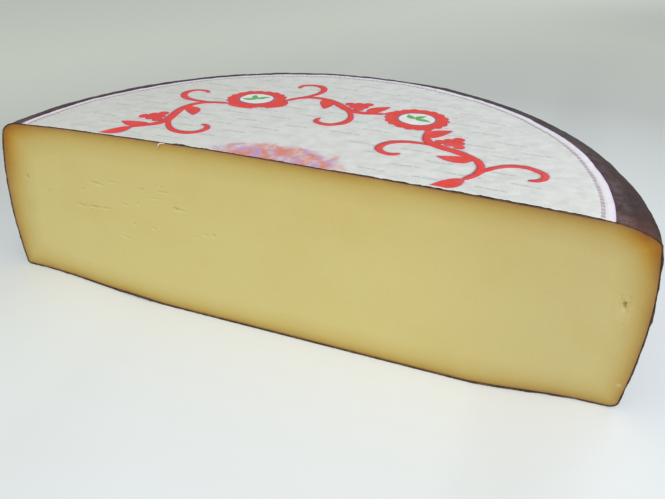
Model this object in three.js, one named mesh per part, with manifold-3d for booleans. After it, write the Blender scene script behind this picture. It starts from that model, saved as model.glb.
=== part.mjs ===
// Half a wheel of red wine cheese, standing on its base with the cut face to the front.
// Millimetres, +Z up, +X to the right of the cut face, -Y out of the cut face.
// The origin is the middle of the footprint's box, on the surface that the cheese stands on.
// The wheel is modelled whole, with its slightly barrelled side, round shoulder and lifted heel,
// and is then cut through its middle together with the paper label that lies on it.

import * as THREE from "three";
import { mergeVertices } from "three/addons/utils/BufferGeometryUtils.js";
import Module from "manifold-3d";

// The whole wheel
const WHEEL_RADIUS = 155;
const WHEEL_HEIGHT = 90;
const TOP_DOME = 2.2; // how much higher the middle of the top is than its rim
const BASE_LIFT_RADIUS = 145; // from here outwards the base has its full lift
const BASE_LIFT = 5.6;

// Sizes that differ round the wheel, as none is quite even: at the right end of the cut, at the
// back, and at the left end
const RIGHT = {
  baseFlatRadius: 85, // inside this the base lies flat on the table
  widestHeight: 47,
  topLean: 5.4, // how far the side leans in between its widest height and the top
  footLean: 3.7,
  shoulderWidth: 18.5,
  shoulderHeight: 8,
  heelWidth: 4,
  heelHeight: 3,
};
const BACK = {
  baseFlatRadius: 112,
  widestHeight: 38,
  topLean: 7,
  footLean: 3.2,
  shoulderWidth: 11.5,
  shoulderHeight: 10.5,
  heelWidth: 3.5,
  heelHeight: 3,
};
const LEFT = {
  baseFlatRadius: 76,
  widestHeight: 29,
  topLean: 10.8,
  footLean: 1.5,
  shoulderWidth: 9.7,
  shoulderHeight: 6.8,
  heelWidth: 1.5,
  heelHeight: 2,
};
const END_REACH = 4; // the power by which an end's sizes give way to the back's
const SHOULDER_POWER = 2.2; // 2 is an ellipse, more is squarer
const OUTLINE_WAVES = [
  { turns: 3, height: 0.35, phase: 0.4 },
  { turns: 5, height: 0.25, phase: 2.1 },
  { turns: 8, height: 0.15, phase: 4.0 },
];

// The paper label
const LABEL_RADIUS = 134;
const LABEL_THICKNESS = 0.5;
const LABEL_GAP = 0.3;

// Eyes and curd slits that show in the cut face: their place across and up, and an eye's length
// along the layers, height and depth. Slits differ in length alone.
const EYES = [
  { across: 144.8, up: 56.1, length: 2.0, height: 3.0, depth: 3.2 },
  { across: -138.0, up: 60.2, length: 1.6, height: 2.0, depth: 1.6 },
  { across: -50.6, up: 58.6, length: 2.4, height: 1.8, depth: 1.8 },
  { across: -31.6, up: 48.3, length: 1.8, height: 1.4, depth: 1.2 },
];
const SLITS = [
  { across: -95.1, up: 64.2, length: 8.6 },
  { across: -85.2, up: 66.2, length: 4.7 },
  { across: -107.2, up: 50.4, length: 5.9 },
  { across: -95.8, up: 51.0, length: 13.9 },
  { across: -79.9, up: 55.6, length: 3.6 },
  { across: -69.0, up: 65.6, length: 4.2 },
  { across: -57.2, up: 66.0, length: 10.1 },
  { across: -82.4, up: 36.9, length: 6.4 },
  { across: -36.0, up: 47.6, length: 3.6 },
];
const SLIT_HEIGHT = 0.9;
const SLIT_DEPTH = 1.6;

// How finely the shapes are divided
const TURN_STEPS = 96;
const BASE_STEPS = 7;
const HEEL_STEPS = 3;
const SIDE_STEPS = 9;
const SHOULDER_STEPS = 7;
const LABEL_STEPS = 7;
const TOP_RING_RADII = [120, 80, 40]; // rings of the top inside the label, from the rim inwards
const CUT_CLEARANCE = 10; // how far the cutting block reaches past the wheel

const lerp = THREE.MathUtils.lerp;
const clamp = THREE.MathUtils.clamp;

// 0 below the first value, 1 above the second, and smooth between.
function smoothStep(value, from, to) {
  const t = clamp((value - from) / (to - from), 0, 1);
  return t * t * (3 - 2 * t);
}

// The wheel's sizes at a turn, which blend from the right end (0) over the back to the left (PI).
function sizesAt(turn) {
  const alongCut = Math.cos(turn);
  const end = alongCut > 0 ? RIGHT : LEFT;
  const toEnd = alongCut ** END_REACH;
  const sizes = {};
  for (const name of Object.keys(BACK)) sizes[name] = lerp(BACK[name], end[name], toEnd);
  return sizes;
}

// How far the outline stands out from a true circle at a turn: nothing at the ends of the cut.
function outlineWave(turn) {
  const wave = OUTLINE_WAVES.reduce(
    (sum, { turns, height, phase }) => sum + height * Math.sin(turns * turn + phase),
    0,
  );
  return wave * Math.sin(turn) ** 2;
}

function baseHeight(radius, baseFlatRadius) {
  return BASE_LIFT * smoothStep(radius, baseFlatRadius, BASE_LIFT_RADIUS);
}

function topHeight(radius) {
  return WHEEL_HEIGHT - TOP_DOME * (radius / LABEL_RADIUS) ** 2;
}

// The share of a rounded corner's width that is gone at a share of its height.
function cornerInset(share, power) {
  return 1 - (1 - clamp(share, 0, 1) ** power) ** (1 / power);
}

// The radius of the side at a height, without its rounded corners.
function sideRadius(height, sizes, turn) {
  const { widestHeight, topLean, footLean } = sizes;
  const above = Math.max(0, height - widestHeight) / (WHEEL_HEIGHT - widestHeight);
  const below = Math.max(0, widestHeight - height) / widestHeight;
  return WHEEL_RADIUS + outlineWave(turn) - topLean * above ** 2 - footLean * below ** 2;
}

// The wheel's outline at a turn as [radius, height] pairs, from the base's flat to the top.
function outlineAt(turn) {
  const sizes = sizesAt(turn);
  const { baseFlatRadius, shoulderWidth, shoulderHeight, heelWidth, heelHeight } = sizes;
  const outline = [];
  const heelBottom = BASE_LIFT;
  const shoulderTop = topHeight(LABEL_RADIUS);
  const heelRadius = sideRadius(heelBottom, sizes, turn) - heelWidth;
  for (let i = 0; i < BASE_STEPS; i++) {
    const radius = lerp(baseFlatRadius, heelRadius, i / BASE_STEPS);
    outline.push([radius, baseHeight(radius, baseFlatRadius)]);
  }
  for (let i = 0; i < HEEL_STEPS; i++) {
    const angle = (Math.PI / 2) * (i / HEEL_STEPS);
    const height = heelBottom + heelHeight * (1 - Math.cos(angle));
    const inset = heelWidth * (1 - Math.sin(angle));
    outline.push([sideRadius(height, sizes, turn) - inset, height]);
  }
  const sideFrom = heelBottom + heelHeight;
  const sideTo = shoulderTop - shoulderHeight;
  for (let i = 0; i < SIDE_STEPS; i++) {
    const height = lerp(sideFrom, sideTo, i / SIDE_STEPS);
    outline.push([sideRadius(height, sizes, turn), height]);
  }
  for (let i = 0; i < SHOULDER_STEPS; i++) {
    const share = Math.sin((Math.PI / 2) * (i / SHOULDER_STEPS));
    const height = sideTo + shoulderHeight * share;
    const inset = shoulderWidth * cornerInset(share, SHOULDER_POWER);
    outline.push([sideRadius(height, sizes, turn) - inset, height]);
  }
  return outline;
}

// The height of the top at a place, which follows the shoulder past the flat of the top.
function surfaceHeight(radius, turn) {
  const outline = outlineAt(turn);
  const shoulder = outline.slice(-SHOULDER_STEPS);
  const [edgeRadius] = shoulder[SHOULDER_STEPS - 1];
  if (radius <= edgeRadius) return topHeight(radius);
  for (let i = SHOULDER_STEPS - 1; i > 0; i--) {
    const [r1, z1] = shoulder[i];
    const [r0, z0] = shoulder[i - 1];
    if (radius <= r0) return lerp(z1, z0, (radius - r1) / (r0 - r1));
  }
  return shoulder[0][1];
}

// A closed body of rings round the Z axis: rings[ring][step] are points, the first and the last
// ring close on a point of their own.
function ringedGeometry(rings, bottomPoint, topPoint) {
  const steps = rings[0].length;
  const positions = [...rings.flat(2), ...bottomPoint, ...topPoint];
  const bottomIndex = rings.length * steps;
  const topIndex = bottomIndex + 1;
  const index = [];
  for (let step = 0; step < steps; step++) {
    const next = (step + 1) % steps;
    index.push(bottomIndex, next, step);
    for (let ring = 0; ring < rings.length - 1; ring++) {
      const a = ring * steps + step;
      const b = ring * steps + next;
      index.push(a, b, b + steps, a, b + steps, a + steps);
    }
    const last = (rings.length - 1) * steps;
    index.push(topIndex, last + step, last + next);
  }
  const geometry = new THREE.BufferGeometry();
  geometry.setAttribute("position", new THREE.Float32BufferAttribute(positions, 3));
  geometry.setIndex(index);
  return geometry;
}

// The turns of the rings' points. Half a step off, so that the cut never meets a point.
function ringTurns() {
  return Array.from(
    { length: TURN_STEPS },
    (_, step) => ((step + 0.5) / TURN_STEPS) * 2 * Math.PI,
  );
}

function pointAt(radius, turn, height) {
  return [radius * Math.cos(turn), radius * Math.sin(turn), height];
}

function wheelGeometry() {
  const turns = ringTurns();
  const outlines = turns.map(outlineAt);
  const rings = outlines[0].map((_, i) =>
    turns.map((turn, step) => pointAt(outlines[step][i][0], turn, outlines[step][i][1])),
  );
  for (const radius of TOP_RING_RADII)
    rings.push(turns.map((turn) => pointAt(radius, turn, topHeight(radius))));
  return ringedGeometry(rings, [0, 0, 0], [0, 0, topHeight(0)]);
}

// The label: a sheet of paper that follows the top, a small gap above it.
function labelGeometry() {
  const turns = ringTurns();
  const radii = [...TOP_RING_RADII].reverse();
  for (let i = 1; i <= LABEL_STEPS; i++)
    radii.push(lerp(TOP_RING_RADII[0], LABEL_RADIUS, i / LABEL_STEPS));
  const ringsAt = (lift) =>
    radii.map((radius) =>
      turns.map((turn) => pointAt(radius, turn, surfaceHeight(radius, turn) + lift)),
    );
  const under = LABEL_GAP;
  const over = LABEL_GAP + LABEL_THICKNESS;
  const rings = [...ringsAt(under), ...ringsAt(over).reverse()];
  return ringedGeometry(rings, [0, 0, topHeight(0) + under], [0, 0, topHeight(0) + over]);
}

// An eye or a slit: an ellipsoid whose middle lies in the cut face.
function hollowGeometry({ across, up, length, height = SLIT_HEIGHT, depth = SLIT_DEPTH }) {
  const geometry = new THREE.SphereGeometry(1, 8, 6);
  geometry.scale(length / 2, depth, height / 2);
  geometry.translate(across, 0, up);
  return geometry;
}

// Everything in front of the cut, through the wheel's middle.
function cutGeometry() {
  const width = 2 * (WHEEL_RADIUS + CUT_CLEARANCE);
  const depth = WHEEL_RADIUS + CUT_CLEARANCE;
  const height = WHEEL_HEIGHT + 2 * CUT_CLEARANCE;
  const geometry = new THREE.BoxGeometry(width, depth, height);
  geometry.translate(0, -depth / 2, WHEEL_HEIGHT / 2);
  return geometry;
}

const wasm = await Module();
wasm.setup();

function solidFrom(geometry) {
  const bare = geometry.clone();
  for (const name of ["normal", "uv"]) bare.deleteAttribute(name);
  const merged = mergeVertices(bare);
  return new wasm.Manifold(
    new wasm.Mesh({
      numProp: 3,
      vertProperties: merged.attributes.position.array,
      triVerts: new Uint32Array(merged.index.array),
    }),
  );
}

function geometryFrom(solid) {
  const mesh = solid.getMesh();
  const geometry = new THREE.BufferGeometry();
  geometry.setAttribute("position", new THREE.BufferAttribute(mesh.vertProperties, 3));
  geometry.setIndex(new THREE.BufferAttribute(mesh.triVerts, 1));
  geometry.computeVertexNormals();
  return geometry;
}

const frontHalf = solidFrom(cutGeometry());
let cheese = solidFrom(wheelGeometry()).subtract(frontHalf);
for (const hollow of [...EYES, ...SLITS]) cheese = cheese.subtract(solidFrom(hollowGeometry(hollow)));
const label = solidFrom(labelGeometry()).subtract(frontHalf);

const cheeseMaterial = new THREE.MeshStandardMaterial({
  color: 0xccbe7c,
  roughness: 0.55,
  metalness: 0,
});
const paperMaterial = new THREE.MeshStandardMaterial({
  color: 0xd8dbd6,
  roughness: 0.8,
  metalness: 0,
});

const cheeseMesh = new THREE.Mesh(geometryFrom(cheese), cheeseMaterial);
cheeseMesh.name = "cheese_half";
const labelMesh = new THREE.Mesh(geometryFrom(label), paperMaterial);
labelMesh.name = "paper_label";

// The wheel's axis is at the middle of the cut, so the group moves back by half its depth.
const halfWheel = new THREE.Group();
halfWheel.add(cheeseMesh, labelMesh);
const box = new THREE.Box3().setFromObject(halfWheel);
const middle = box.getCenter(new THREE.Vector3());
halfWheel.position.set(-middle.x, -middle.y, -box.min.z);

const part = new THREE.Group();
part.add(halfWheel);

export default part;
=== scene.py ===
"""Half a wheel of red wine cheese with a half-disc paper label, cut face to the front.

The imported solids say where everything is. The wheel's outline is worked out again here from the
same driving sizes, so that the paste, the rind and the label can be made finely and dressed.
Sizes are in millimetres unless a name says metres, measured from the wheel's axis at the cut:
across to the right, back from the cut face, and up from the base.
"""

from __future__ import annotations

import logging
import math
from dataclasses import dataclass, field
from enum import Enum, IntEnum
from functools import partial, reduce

import bmesh
import bpy
import numpy as np
from bpy.types import Material, Mesh, Node, NodeSocket, NodeTree, Object
from mathutils import Matrix, Vector
from mathutils.kdtree import KDTree


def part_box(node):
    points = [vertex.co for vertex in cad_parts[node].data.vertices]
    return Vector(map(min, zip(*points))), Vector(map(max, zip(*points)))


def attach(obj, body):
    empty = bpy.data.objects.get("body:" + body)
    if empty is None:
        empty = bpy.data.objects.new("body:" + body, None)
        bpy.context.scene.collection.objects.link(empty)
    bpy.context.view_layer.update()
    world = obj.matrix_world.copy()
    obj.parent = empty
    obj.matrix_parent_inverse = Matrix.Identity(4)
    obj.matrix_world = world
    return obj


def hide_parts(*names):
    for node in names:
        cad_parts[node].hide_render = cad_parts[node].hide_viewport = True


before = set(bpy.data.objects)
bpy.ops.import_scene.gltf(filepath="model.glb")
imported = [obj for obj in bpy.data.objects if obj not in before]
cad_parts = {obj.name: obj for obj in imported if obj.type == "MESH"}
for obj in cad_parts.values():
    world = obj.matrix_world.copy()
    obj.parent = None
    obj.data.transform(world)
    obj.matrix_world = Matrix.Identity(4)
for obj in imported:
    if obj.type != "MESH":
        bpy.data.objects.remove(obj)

LOG = logging.getLogger("red_wine_cheese")
MM = 0.001
BODY = "root"
CHEESE_NODE = "cheese_half"
LABEL_NODE = "paper_label"
LABEL_SHIFT = 1.0  # how far the label lies to the right of the wheel's axis, in mm
LABEL_STRETCH = 1.0115  # how much deeper the label is than a half disc

Array = np.ndarray
Span = tuple[float, float]
Triple = tuple[float, float, float]


class Slot(Enum):
    """The record's material slots."""

    PASTE = "paste"
    RIND = "rind"
    PAPER = "paper"
    PRINT = "print"


class Stretch(IntEnum):
    """Where each stretch of the wheel's outline starts, from the middle of the base to the top's."""

    FLAT = 0
    RISE = 1
    HEEL = 2
    SIDE = 3
    SHOULDER = 4
    TOP = 5
    MIDDLE = 6


@dataclass(frozen=True)
class Shade:
    """A colour by its sRGB levels, 0 to 255."""

    red: float
    green: float
    blue: float

    def rgba(self) -> tuple[float, float, float, float]:
        """Returns the colour as linear light, with full alpha."""
        shares = [level / 255 for level in (self.red, self.green, self.blue)]
        return (*[s / 12.92 if s <= 0.04045 else ((s + 0.055) / 1.055) ** 2.4 for s in shares], 1.0)


Stops = tuple[tuple[float, Shade], ...]


# Node scripts


class NodeScript:
    """Adds nodes to one node tree and wires them."""

    COLUMN_WIDTH = 190

    def __init__(self, tree: NodeTree) -> None:
        """Starts on the shader or geometry tree that takes the nodes."""
        self.tree = tree
        self.column = 0

    def add(self, kind: str, inputs: dict | None = None, **settings: object) -> Node:
        """Adds one node.

        Args:
            kind: the node's type name.
            inputs: values or sockets for its inputs, by name or number.
            settings: the node's own properties.

        Returns:
            The new node.
        """
        node = self.tree.nodes.new(kind)
        node.location = (self.column * self.COLUMN_WIDTH, 0)
        self.column += 1
        for name, value in settings.items():
            setattr(node, name, value)
        for key, value in (inputs or {}).items():
            self.feed(node.inputs[key], value)
        return node

    def feed(self, socket: NodeSocket, value: object) -> None:
        """Links a socket to an input, or sets the input's own value or shade."""
        if isinstance(value, NodeSocket):
            self.tree.links.new(value, socket)
        else:
            socket.default_value = value.rgba() if isinstance(value, Shade) else value

    def calc(self, operation: str, *values: object, clamp: bool = False) -> NodeSocket:
        """Returns the result of one Math node on up to three values."""
        inputs = dict(enumerate(values))
        return self.add("ShaderNodeMath", inputs, operation=operation, use_clamp=clamp).outputs[0]

    def times(self, *factors: object) -> NodeSocket:
        """Returns the product of two or more numbers."""
        return reduce(partial(self.calc, "MULTIPLY"), factors)

    def plus(self, *terms: object) -> NodeSocket:
        """Returns the sum of two or more numbers."""
        return reduce(partial(self.calc, "ADD"), terms)

    def vector(self, operation: str, *values: object) -> NodeSocket:
        """Returns the vector result of one Vector Math node."""
        node = self.add("ShaderNodeVectorMath", dict(enumerate(values)), operation=operation)
        return node.outputs["Vector"]

    def measure(self, operation: str, *values: object) -> NodeSocket:
        """Returns the number that one Vector Math node finds, such as a length."""
        node = self.add("ShaderNodeVectorMath", dict(enumerate(values)), operation=operation)
        return node.outputs["Value"]

    def split(self, vector: NodeSocket) -> list[NodeSocket]:
        """Returns a vector's three parts."""
        return list(self.add("ShaderNodeSeparateXYZ", {0: vector}).outputs)

    def join(self, x: object, y: object, z: object) -> NodeSocket:
        """Returns a vector made of three parts."""
        return self.add("ShaderNodeCombineXYZ", {0: x, 1: y, 2: z}).outputs[0]

    def ramp(self, value: object, low: float, high: float, to: Span = (0.0, 1.0)) -> NodeSocket:
        """Returns a number that runs smoothly from one result at low to the other at high."""
        node = self.add(
            "ShaderNodeMapRange",
            {"Value": value, "From Min": low, "From Max": high, "To Min": to[0], "To Max": to[1]},
            interpolation_type="SMOOTHSTEP",
        )
        return node.outputs[0]

    def ramp_mm(self, value: object, span: Span, to: Span = (0.0, 1.0)) -> NodeSocket:
        """Returns a ramp over a span in millimetres."""
        return self.ramp(value, span[0] * MM, span[1] * MM, to)

    def from_axis(self, place: NodeSocket, right_mm: float = 0.0) -> NodeSocket:
        """Returns a place as seen from the wheel's axis at the cut, or from right of that."""
        return self.vector("SUBTRACT", place, (WHERE.axis_x + right_mm * MM, WHERE.cut_y, 0.0))

    def noise(self, where: object, size_mm: float, **settings: float) -> NodeSocket:
        """Returns a noise of about 0.5 with blotches of a size, and with the node's settings."""
        inputs = {"Vector": where, "Scale": 1 / (size_mm * MM)}
        inputs.update({name.title(): value for name, value in settings.items()})
        return self.add("ShaderNodeTexNoise", inputs).outputs[0]


class MaterialScript(NodeScript):
    """Builds one material round a Principled shader."""

    def __init__(self, name: str) -> None:
        """Makes a material with a name and nothing but its shader."""
        self.material = bpy.data.materials.new(name)
        self.material.use_nodes = True
        super().__init__(self.material.node_tree)
        self.shader = self.tree.nodes["Principled BSDF"]
        self.object_place = self.add("ShaderNodeTexCoord").outputs["Object"]

    def attribute(self, name: str) -> NodeSocket:
        """Returns a mesh attribute's number."""
        return self.add("ShaderNodeAttribute", attribute_name=name).outputs["Fac"]

    def mix(self, share: object, first: object, second: object, blend: str = "MIX") -> NodeSocket:
        """Returns a blend of two colours."""
        inputs = {0: share, 6: first, 7: second}
        return self.add("ShaderNodeMix", inputs, data_type="RGBA", blend_type=blend).outputs[2]

    def colours(self, share: object, stops: Stops) -> NodeSocket:
        """Returns the colour at a share of a row of stops, which are places with their colours."""
        node = self.add("ShaderNodeValToRGB", {0: share})
        points = node.color_ramp.elements
        while len(points) < len(stops):
            points.new(1.0)
        for point, (place, shade) in zip(points, stops):
            point.position = place
            point.color = shade.rgba()
        return node.outputs[0]

    def bump(self, height: object, distance_mm: float, strength: float, under: object = None) -> object:
        """Returns a normal with relief of a depth in millimetres."""
        inputs = {"Height": height, "Distance": distance_mm * MM, "Strength": strength}
        if under is not None:
            inputs["Normal"] = under
        return self.add("ShaderNodeBump", inputs).outputs[0]

    def finish(self, **sockets: object) -> Material:
        """Feeds the shader's inputs, named with underscores, and returns the material."""
        for name, value in sockets.items():
            self.feed(self.shader.inputs[name.replace("_", " ")], value)
        return self.material


class ShapeTree(NodeScript):
    """A Geometry Nodes tree with named inputs, whose result becomes a plain mesh."""

    MERGE_METRES = 2e-6
    RAY_TOP = 0.2
    RAY_LENGTH = 0.3
    RAY_BACK = 0.5 * MM  # how far behind the cut a surface's height is read at least

    def __init__(self, name: str) -> None:
        """Makes a tree with a name, a geometry input and no output yet."""
        tree = bpy.data.node_groups.new(name, "GeometryNodeTree")
        for side in ("INPUT", "OUTPUT"):
            tree.interface.new_socket("Geometry", in_out=side, socket_type="NodeSocketGeometry")
        super().__init__(tree)
        self.values: dict[str, object] = {}
        self.source = self.add("NodeGroupInput")

    def size(self, name: str, value: object, kind: str = "Float") -> NodeSocket:
        """Adds a named input with its value, and returns its socket inside the tree."""
        self.tree.interface.new_socket(name, in_out="INPUT", socket_type=f"NodeSocket{kind}")
        self.values[name] = value
        return self.source.outputs[name]

    def geo(self, kind: str, inputs: dict | None = None, **settings: object) -> NodeSocket:
        """Adds a Geometry node, named by the end of its type, and returns its first output."""
        return self.add("GeometryNode" + kind, inputs, **settings).outputs[0]

    def position(self) -> NodeSocket:
        """Returns the points' position."""
        return self.geo("InputPosition")

    def named(self, name: str) -> NodeSocket:
        """Returns a named number of the points."""
        return self.geo("InputNamedAttribute", {"Name": name}, data_type="FLOAT")

    def grid(self, width: float, depth: float, columns: object, rows: object) -> NodeSocket:
        """Returns a flat grid about the origin, with its numbers of points across and back."""
        inputs = {"Size X": width, "Size Y": depth, "Vertices X": columns, "Vertices Y": rows}
        return self.geo("MeshGrid", inputs)

    def source_curve(self) -> NodeSocket:
        """Returns the edges of the mesh that the tree works on as a curve."""
        return self.geo("MeshToCurve", {"Mesh": self.source.outputs[0]})

    def move(self, geometry: object, place: object = None, offset: object = None) -> object:
        """Returns the geometry with its points at a place, or moved by an offset."""
        inputs = {"Geometry": geometry}
        if place is not None:
            inputs["Position"] = place
        if offset is not None:
            inputs["Offset"] = offset
        return self.geo("SetPosition", inputs)

    def surface_height(self, surface: object, place: object) -> NodeSocket:
        """Returns how high another object's surface is above each place, in metres."""
        x, y, _ = self.split(place)
        info = self.add("GeometryNodeObjectInfo", {"Object": surface})
        inputs = {
            "Target Geometry": info.outputs["Geometry"],
            "Source Position": self.join(x, y, self.RAY_TOP),
            "Ray Direction": (0, 0, -1),
            "Ray Length": self.RAY_LENGTH,
        }
        ray = self.add("GeometryNodeRaycast", inputs)
        return self.split(ray.outputs["Hit Position"])[2]

    def thicken(self, geometry: object, thickness: object) -> NodeSocket:
        """Returns an upward sheet as a closed body, its first face at the bottom."""
        inputs = {"Mesh": geometry, "Offset": (0, 0, 1), "Offset Scale": thickness}
        inputs["Individual"] = False
        raised = self.geo("ExtrudeMesh", inputs, mode="FACES")
        under = self.geo("FlipFaces", {"Mesh": geometry})
        body = self.add("GeometryNodeJoinGeometry")
        for part in (under, raised):
            self.tree.links.new(part, body.inputs[0])
        inputs = {"Geometry": body.outputs[0], "Distance": self.MERGE_METRES}
        return self.geo("MergeByDistance", inputs)

    def lay(self, geometry: object, surface: object, lift: object) -> NodeSocket:
        """Returns flat geometry laid on another object's surface, its own height kept."""
        x, y, z = self.split(self.position())
        on_surface = self.calc("MAXIMUM", y, WHERE.cut_y + self.RAY_BACK)
        ground = self.surface_height(surface, self.join(x, on_surface, 0.0))
        return self.move(geometry, place=self.join(x, y, self.plus(ground, lift, z)))

    def grow(self, name: str, geometry: object, material: Material, start: Mesh = None) -> Object:
        """Ends the tree, runs it once and keeps its result as a plain mesh.

        Args:
            name: the piece's name.
            geometry: the tree's last geometry.
            material: the finish that Set Material gives it.
            start: the mesh that the tree works on, if it needs one.

        Returns:
            The piece, with no modifier left.
        """
        finish = self.size("Finish", material, "Material")
        real = self.geo("RealizeInstances", {"Geometry": geometry})
        dressed = self.geo("SetMaterial", {"Geometry": real, "Material": finish})
        self.add("NodeGroupOutput", {0: dressed})
        piece = bpy.data.objects.new(name, start or bpy.data.meshes.new(name))
        bpy.context.scene.collection.objects.link(piece)
        modifier = piece.modifiers.new("shape", "NODES")
        modifier.node_group = self.tree
        for item in self.tree.interface.items_tree:
            if item.item_type == "SOCKET" and item.name in self.values:
                modifier[item.identifier] = self.values[item.name]
        graph = bpy.context.evaluated_depsgraph_get()
        mesh = bpy.data.meshes.new_from_object(piece.evaluated_get(graph), depsgraph=graph)
        piece.modifiers.clear()
        piece.data = mesh
        mesh.name = name
        return piece


# Meshes from arrays


def quads(numbers: Array) -> Array:
    """Returns the quads between the rows of a table of point numbers."""
    corners = (numbers[:-1, :-1], numbers[:-1, 1:], numbers[1:, 1:], numbers[1:, :-1])
    return np.stack(corners, axis=-1).reshape(-1, 4)


class Draft:
    """Gathers the points and faces of one closed mesh."""

    def __init__(self) -> None:
        """Starts empty."""
        self.points: list[Array] = []
        self.faces: list[Array] = []
        self.count = 0

    def add_points(self, points: Array) -> Array:
        """Adds points, whose last axis is across, back and up, and returns their numbers."""
        flat = points.reshape(-1, 3)
        numbers = np.arange(self.count, self.count + len(flat)).reshape(points.shape[:-1])
        self.points.append(flat)
        self.count += len(flat)
        return numbers

    def add_grid(self, numbers: Array) -> None:
        """Adds the quads between the rows of a table of point numbers."""
        self.faces.append(quads(numbers))

    def mesh(self, name: str) -> Mesh:
        """Makes the mesh, in metres in the frame. A quad whose corners meet is a triangle."""
        used, numbers = np.unique(np.concatenate(self.faces), return_inverse=True)
        points = WHERE.metres(np.concatenate(self.points)[used])
        faces = []
        for quad in numbers.reshape(-1, 4).tolist():
            corners = [c for i, c in enumerate(quad) if c != quad[i - 1]]
            if len(corners) > 2:
                faces.append(corners)
        mesh = bpy.data.meshes.new(name)
        mesh.from_pydata(points.tolist(), [], faces)
        body = bmesh.new()
        body.from_mesh(mesh)
        bmesh.ops.recalc_face_normals(body, faces=body.faces)
        body.to_mesh(mesh)
        body.free()
        return mesh


@dataclass(frozen=True)
class Whereabouts:
    """Where the wheel's axis meets the cut, in the frame."""

    axis_x: float
    cut_y: float

    def metres(self, points: Array) -> Array:
        """Returns points from the axis, in millimetres, as points of the frame, in metres."""
        return points * MM + np.array([self.axis_x, self.cut_y, 0.0])

    def flat(self, points: Array) -> list[list[float]]:
        """Returns places across and back as points of the frame, at no height."""
        return self.metres(np.insert(points, 2, 0.0, axis=1)).tolist()


def find_cut() -> Whereabouts:
    """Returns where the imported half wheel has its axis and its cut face."""
    low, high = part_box(CHEESE_NODE)
    return Whereabouts(axis_x=(low.x + high.x) / 2, cut_y=low.y)


WHERE = find_cut()


def new_piece(name: str, mesh: Mesh, material: Material) -> Object:
    """Makes a piece at the frame's origin from a mesh that holds its place."""
    mesh.materials.append(material)
    piece = bpy.data.objects.new(name, mesh)
    bpy.context.scene.collection.objects.link(piece)
    return piece


def smooth(piece: Object, sharp_degrees: float = 50.0) -> Object:
    """Shades a piece smoothly, but for edges sharper than an angle, and returns it."""
    piece.data.shade_smooth()
    piece.data.set_sharp_from_angle(angle=math.radians(sharp_degrees))
    return piece


def keep(piece: Object, slot: Slot, replaced: str | None = None) -> None:
    """Attaches a finished piece to the body, hides the node that it stands for, if it does, and logs
    its slot.
    """
    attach(piece, BODY)
    if replaced:
        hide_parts(replaced)
    LOG.info("%s: %d faces, finish %s", piece.name, len(piece.data.polygons), slot.value)


def put_numbers(mesh: Mesh, name: str, values: Array) -> None:
    """Keeps a number for each point of a mesh."""
    numbers = mesh.attributes.new(name, "FLOAT", "POINT")
    numbers.data.foreach_set("value", values.astype(np.float32))


def graded(*stops: Span) -> Array:
    """Returns places from the first to the last stop. A stop is a place and the spacing there."""
    places, spacings = np.array(stops).T
    fine = np.linspace(places[0], places[-1], 4000)
    count = np.concatenate([[0], np.cumsum(np.diff(fine) / np.interp(fine[1:], places, spacings))])
    steps = int(round(count[-1]))
    return np.interp(np.linspace(0, count[-1], steps + 1), count, fine)


def respaced(places: Array, steps: int) -> Array:
    """Returns the same run of places with another number of steps."""
    share = np.linspace(0, 1, len(places))
    return np.interp(np.linspace(0, 1, steps + 1), share, places)


class Unevenness:
    """A smooth random height over space, about 1 in size either way."""

    WAVES = 28

    def __init__(self, seed: int, wavelength: float) -> None:
        """Draws waves of about one length from a fixed seed."""
        random = np.random.default_rng(seed)
        direction = random.normal(size=(self.WAVES, 3))
        direction /= np.linalg.norm(direction, axis=1)[:, None]
        number = 2 * math.pi / wavelength * random.uniform(0.6, 1.6, self.WAVES)
        self.wave = direction * number[:, None]
        self.phase = random.uniform(0, 2 * math.pi, self.WAVES)

    def at(self, points: Array) -> Array:
        """Returns the height at each point."""
        waves = np.sin(points @ self.wave.T + self.phase)
        return waves.sum(axis=-1) * math.sqrt(2 / self.WAVES)


def smooth_step(value: Array, start: Array | float, end: Array | float) -> Array:
    """Returns 0 below start, 1 above end, and a smooth rise between."""
    share = np.clip((value - start) / (end - start), 0, 1)
    return share * share * (3 - 2 * share)


def between(share: Array, first: Array, last: Array) -> Array:
    """Returns what lies at a share of the way from first to last."""
    return first + (last - first) * share


# The wheel's form


@dataclass(frozen=True)
class RimSizes:
    """Sizes of the wheel's outline that differ round the wheel."""

    base_flat_radius: float
    widest_height: float
    top_lean: float
    foot_lean: float
    shoulder_width: float
    shoulder_height: float
    shoulder_power: float
    heel_width: float
    heel_height: float


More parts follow.
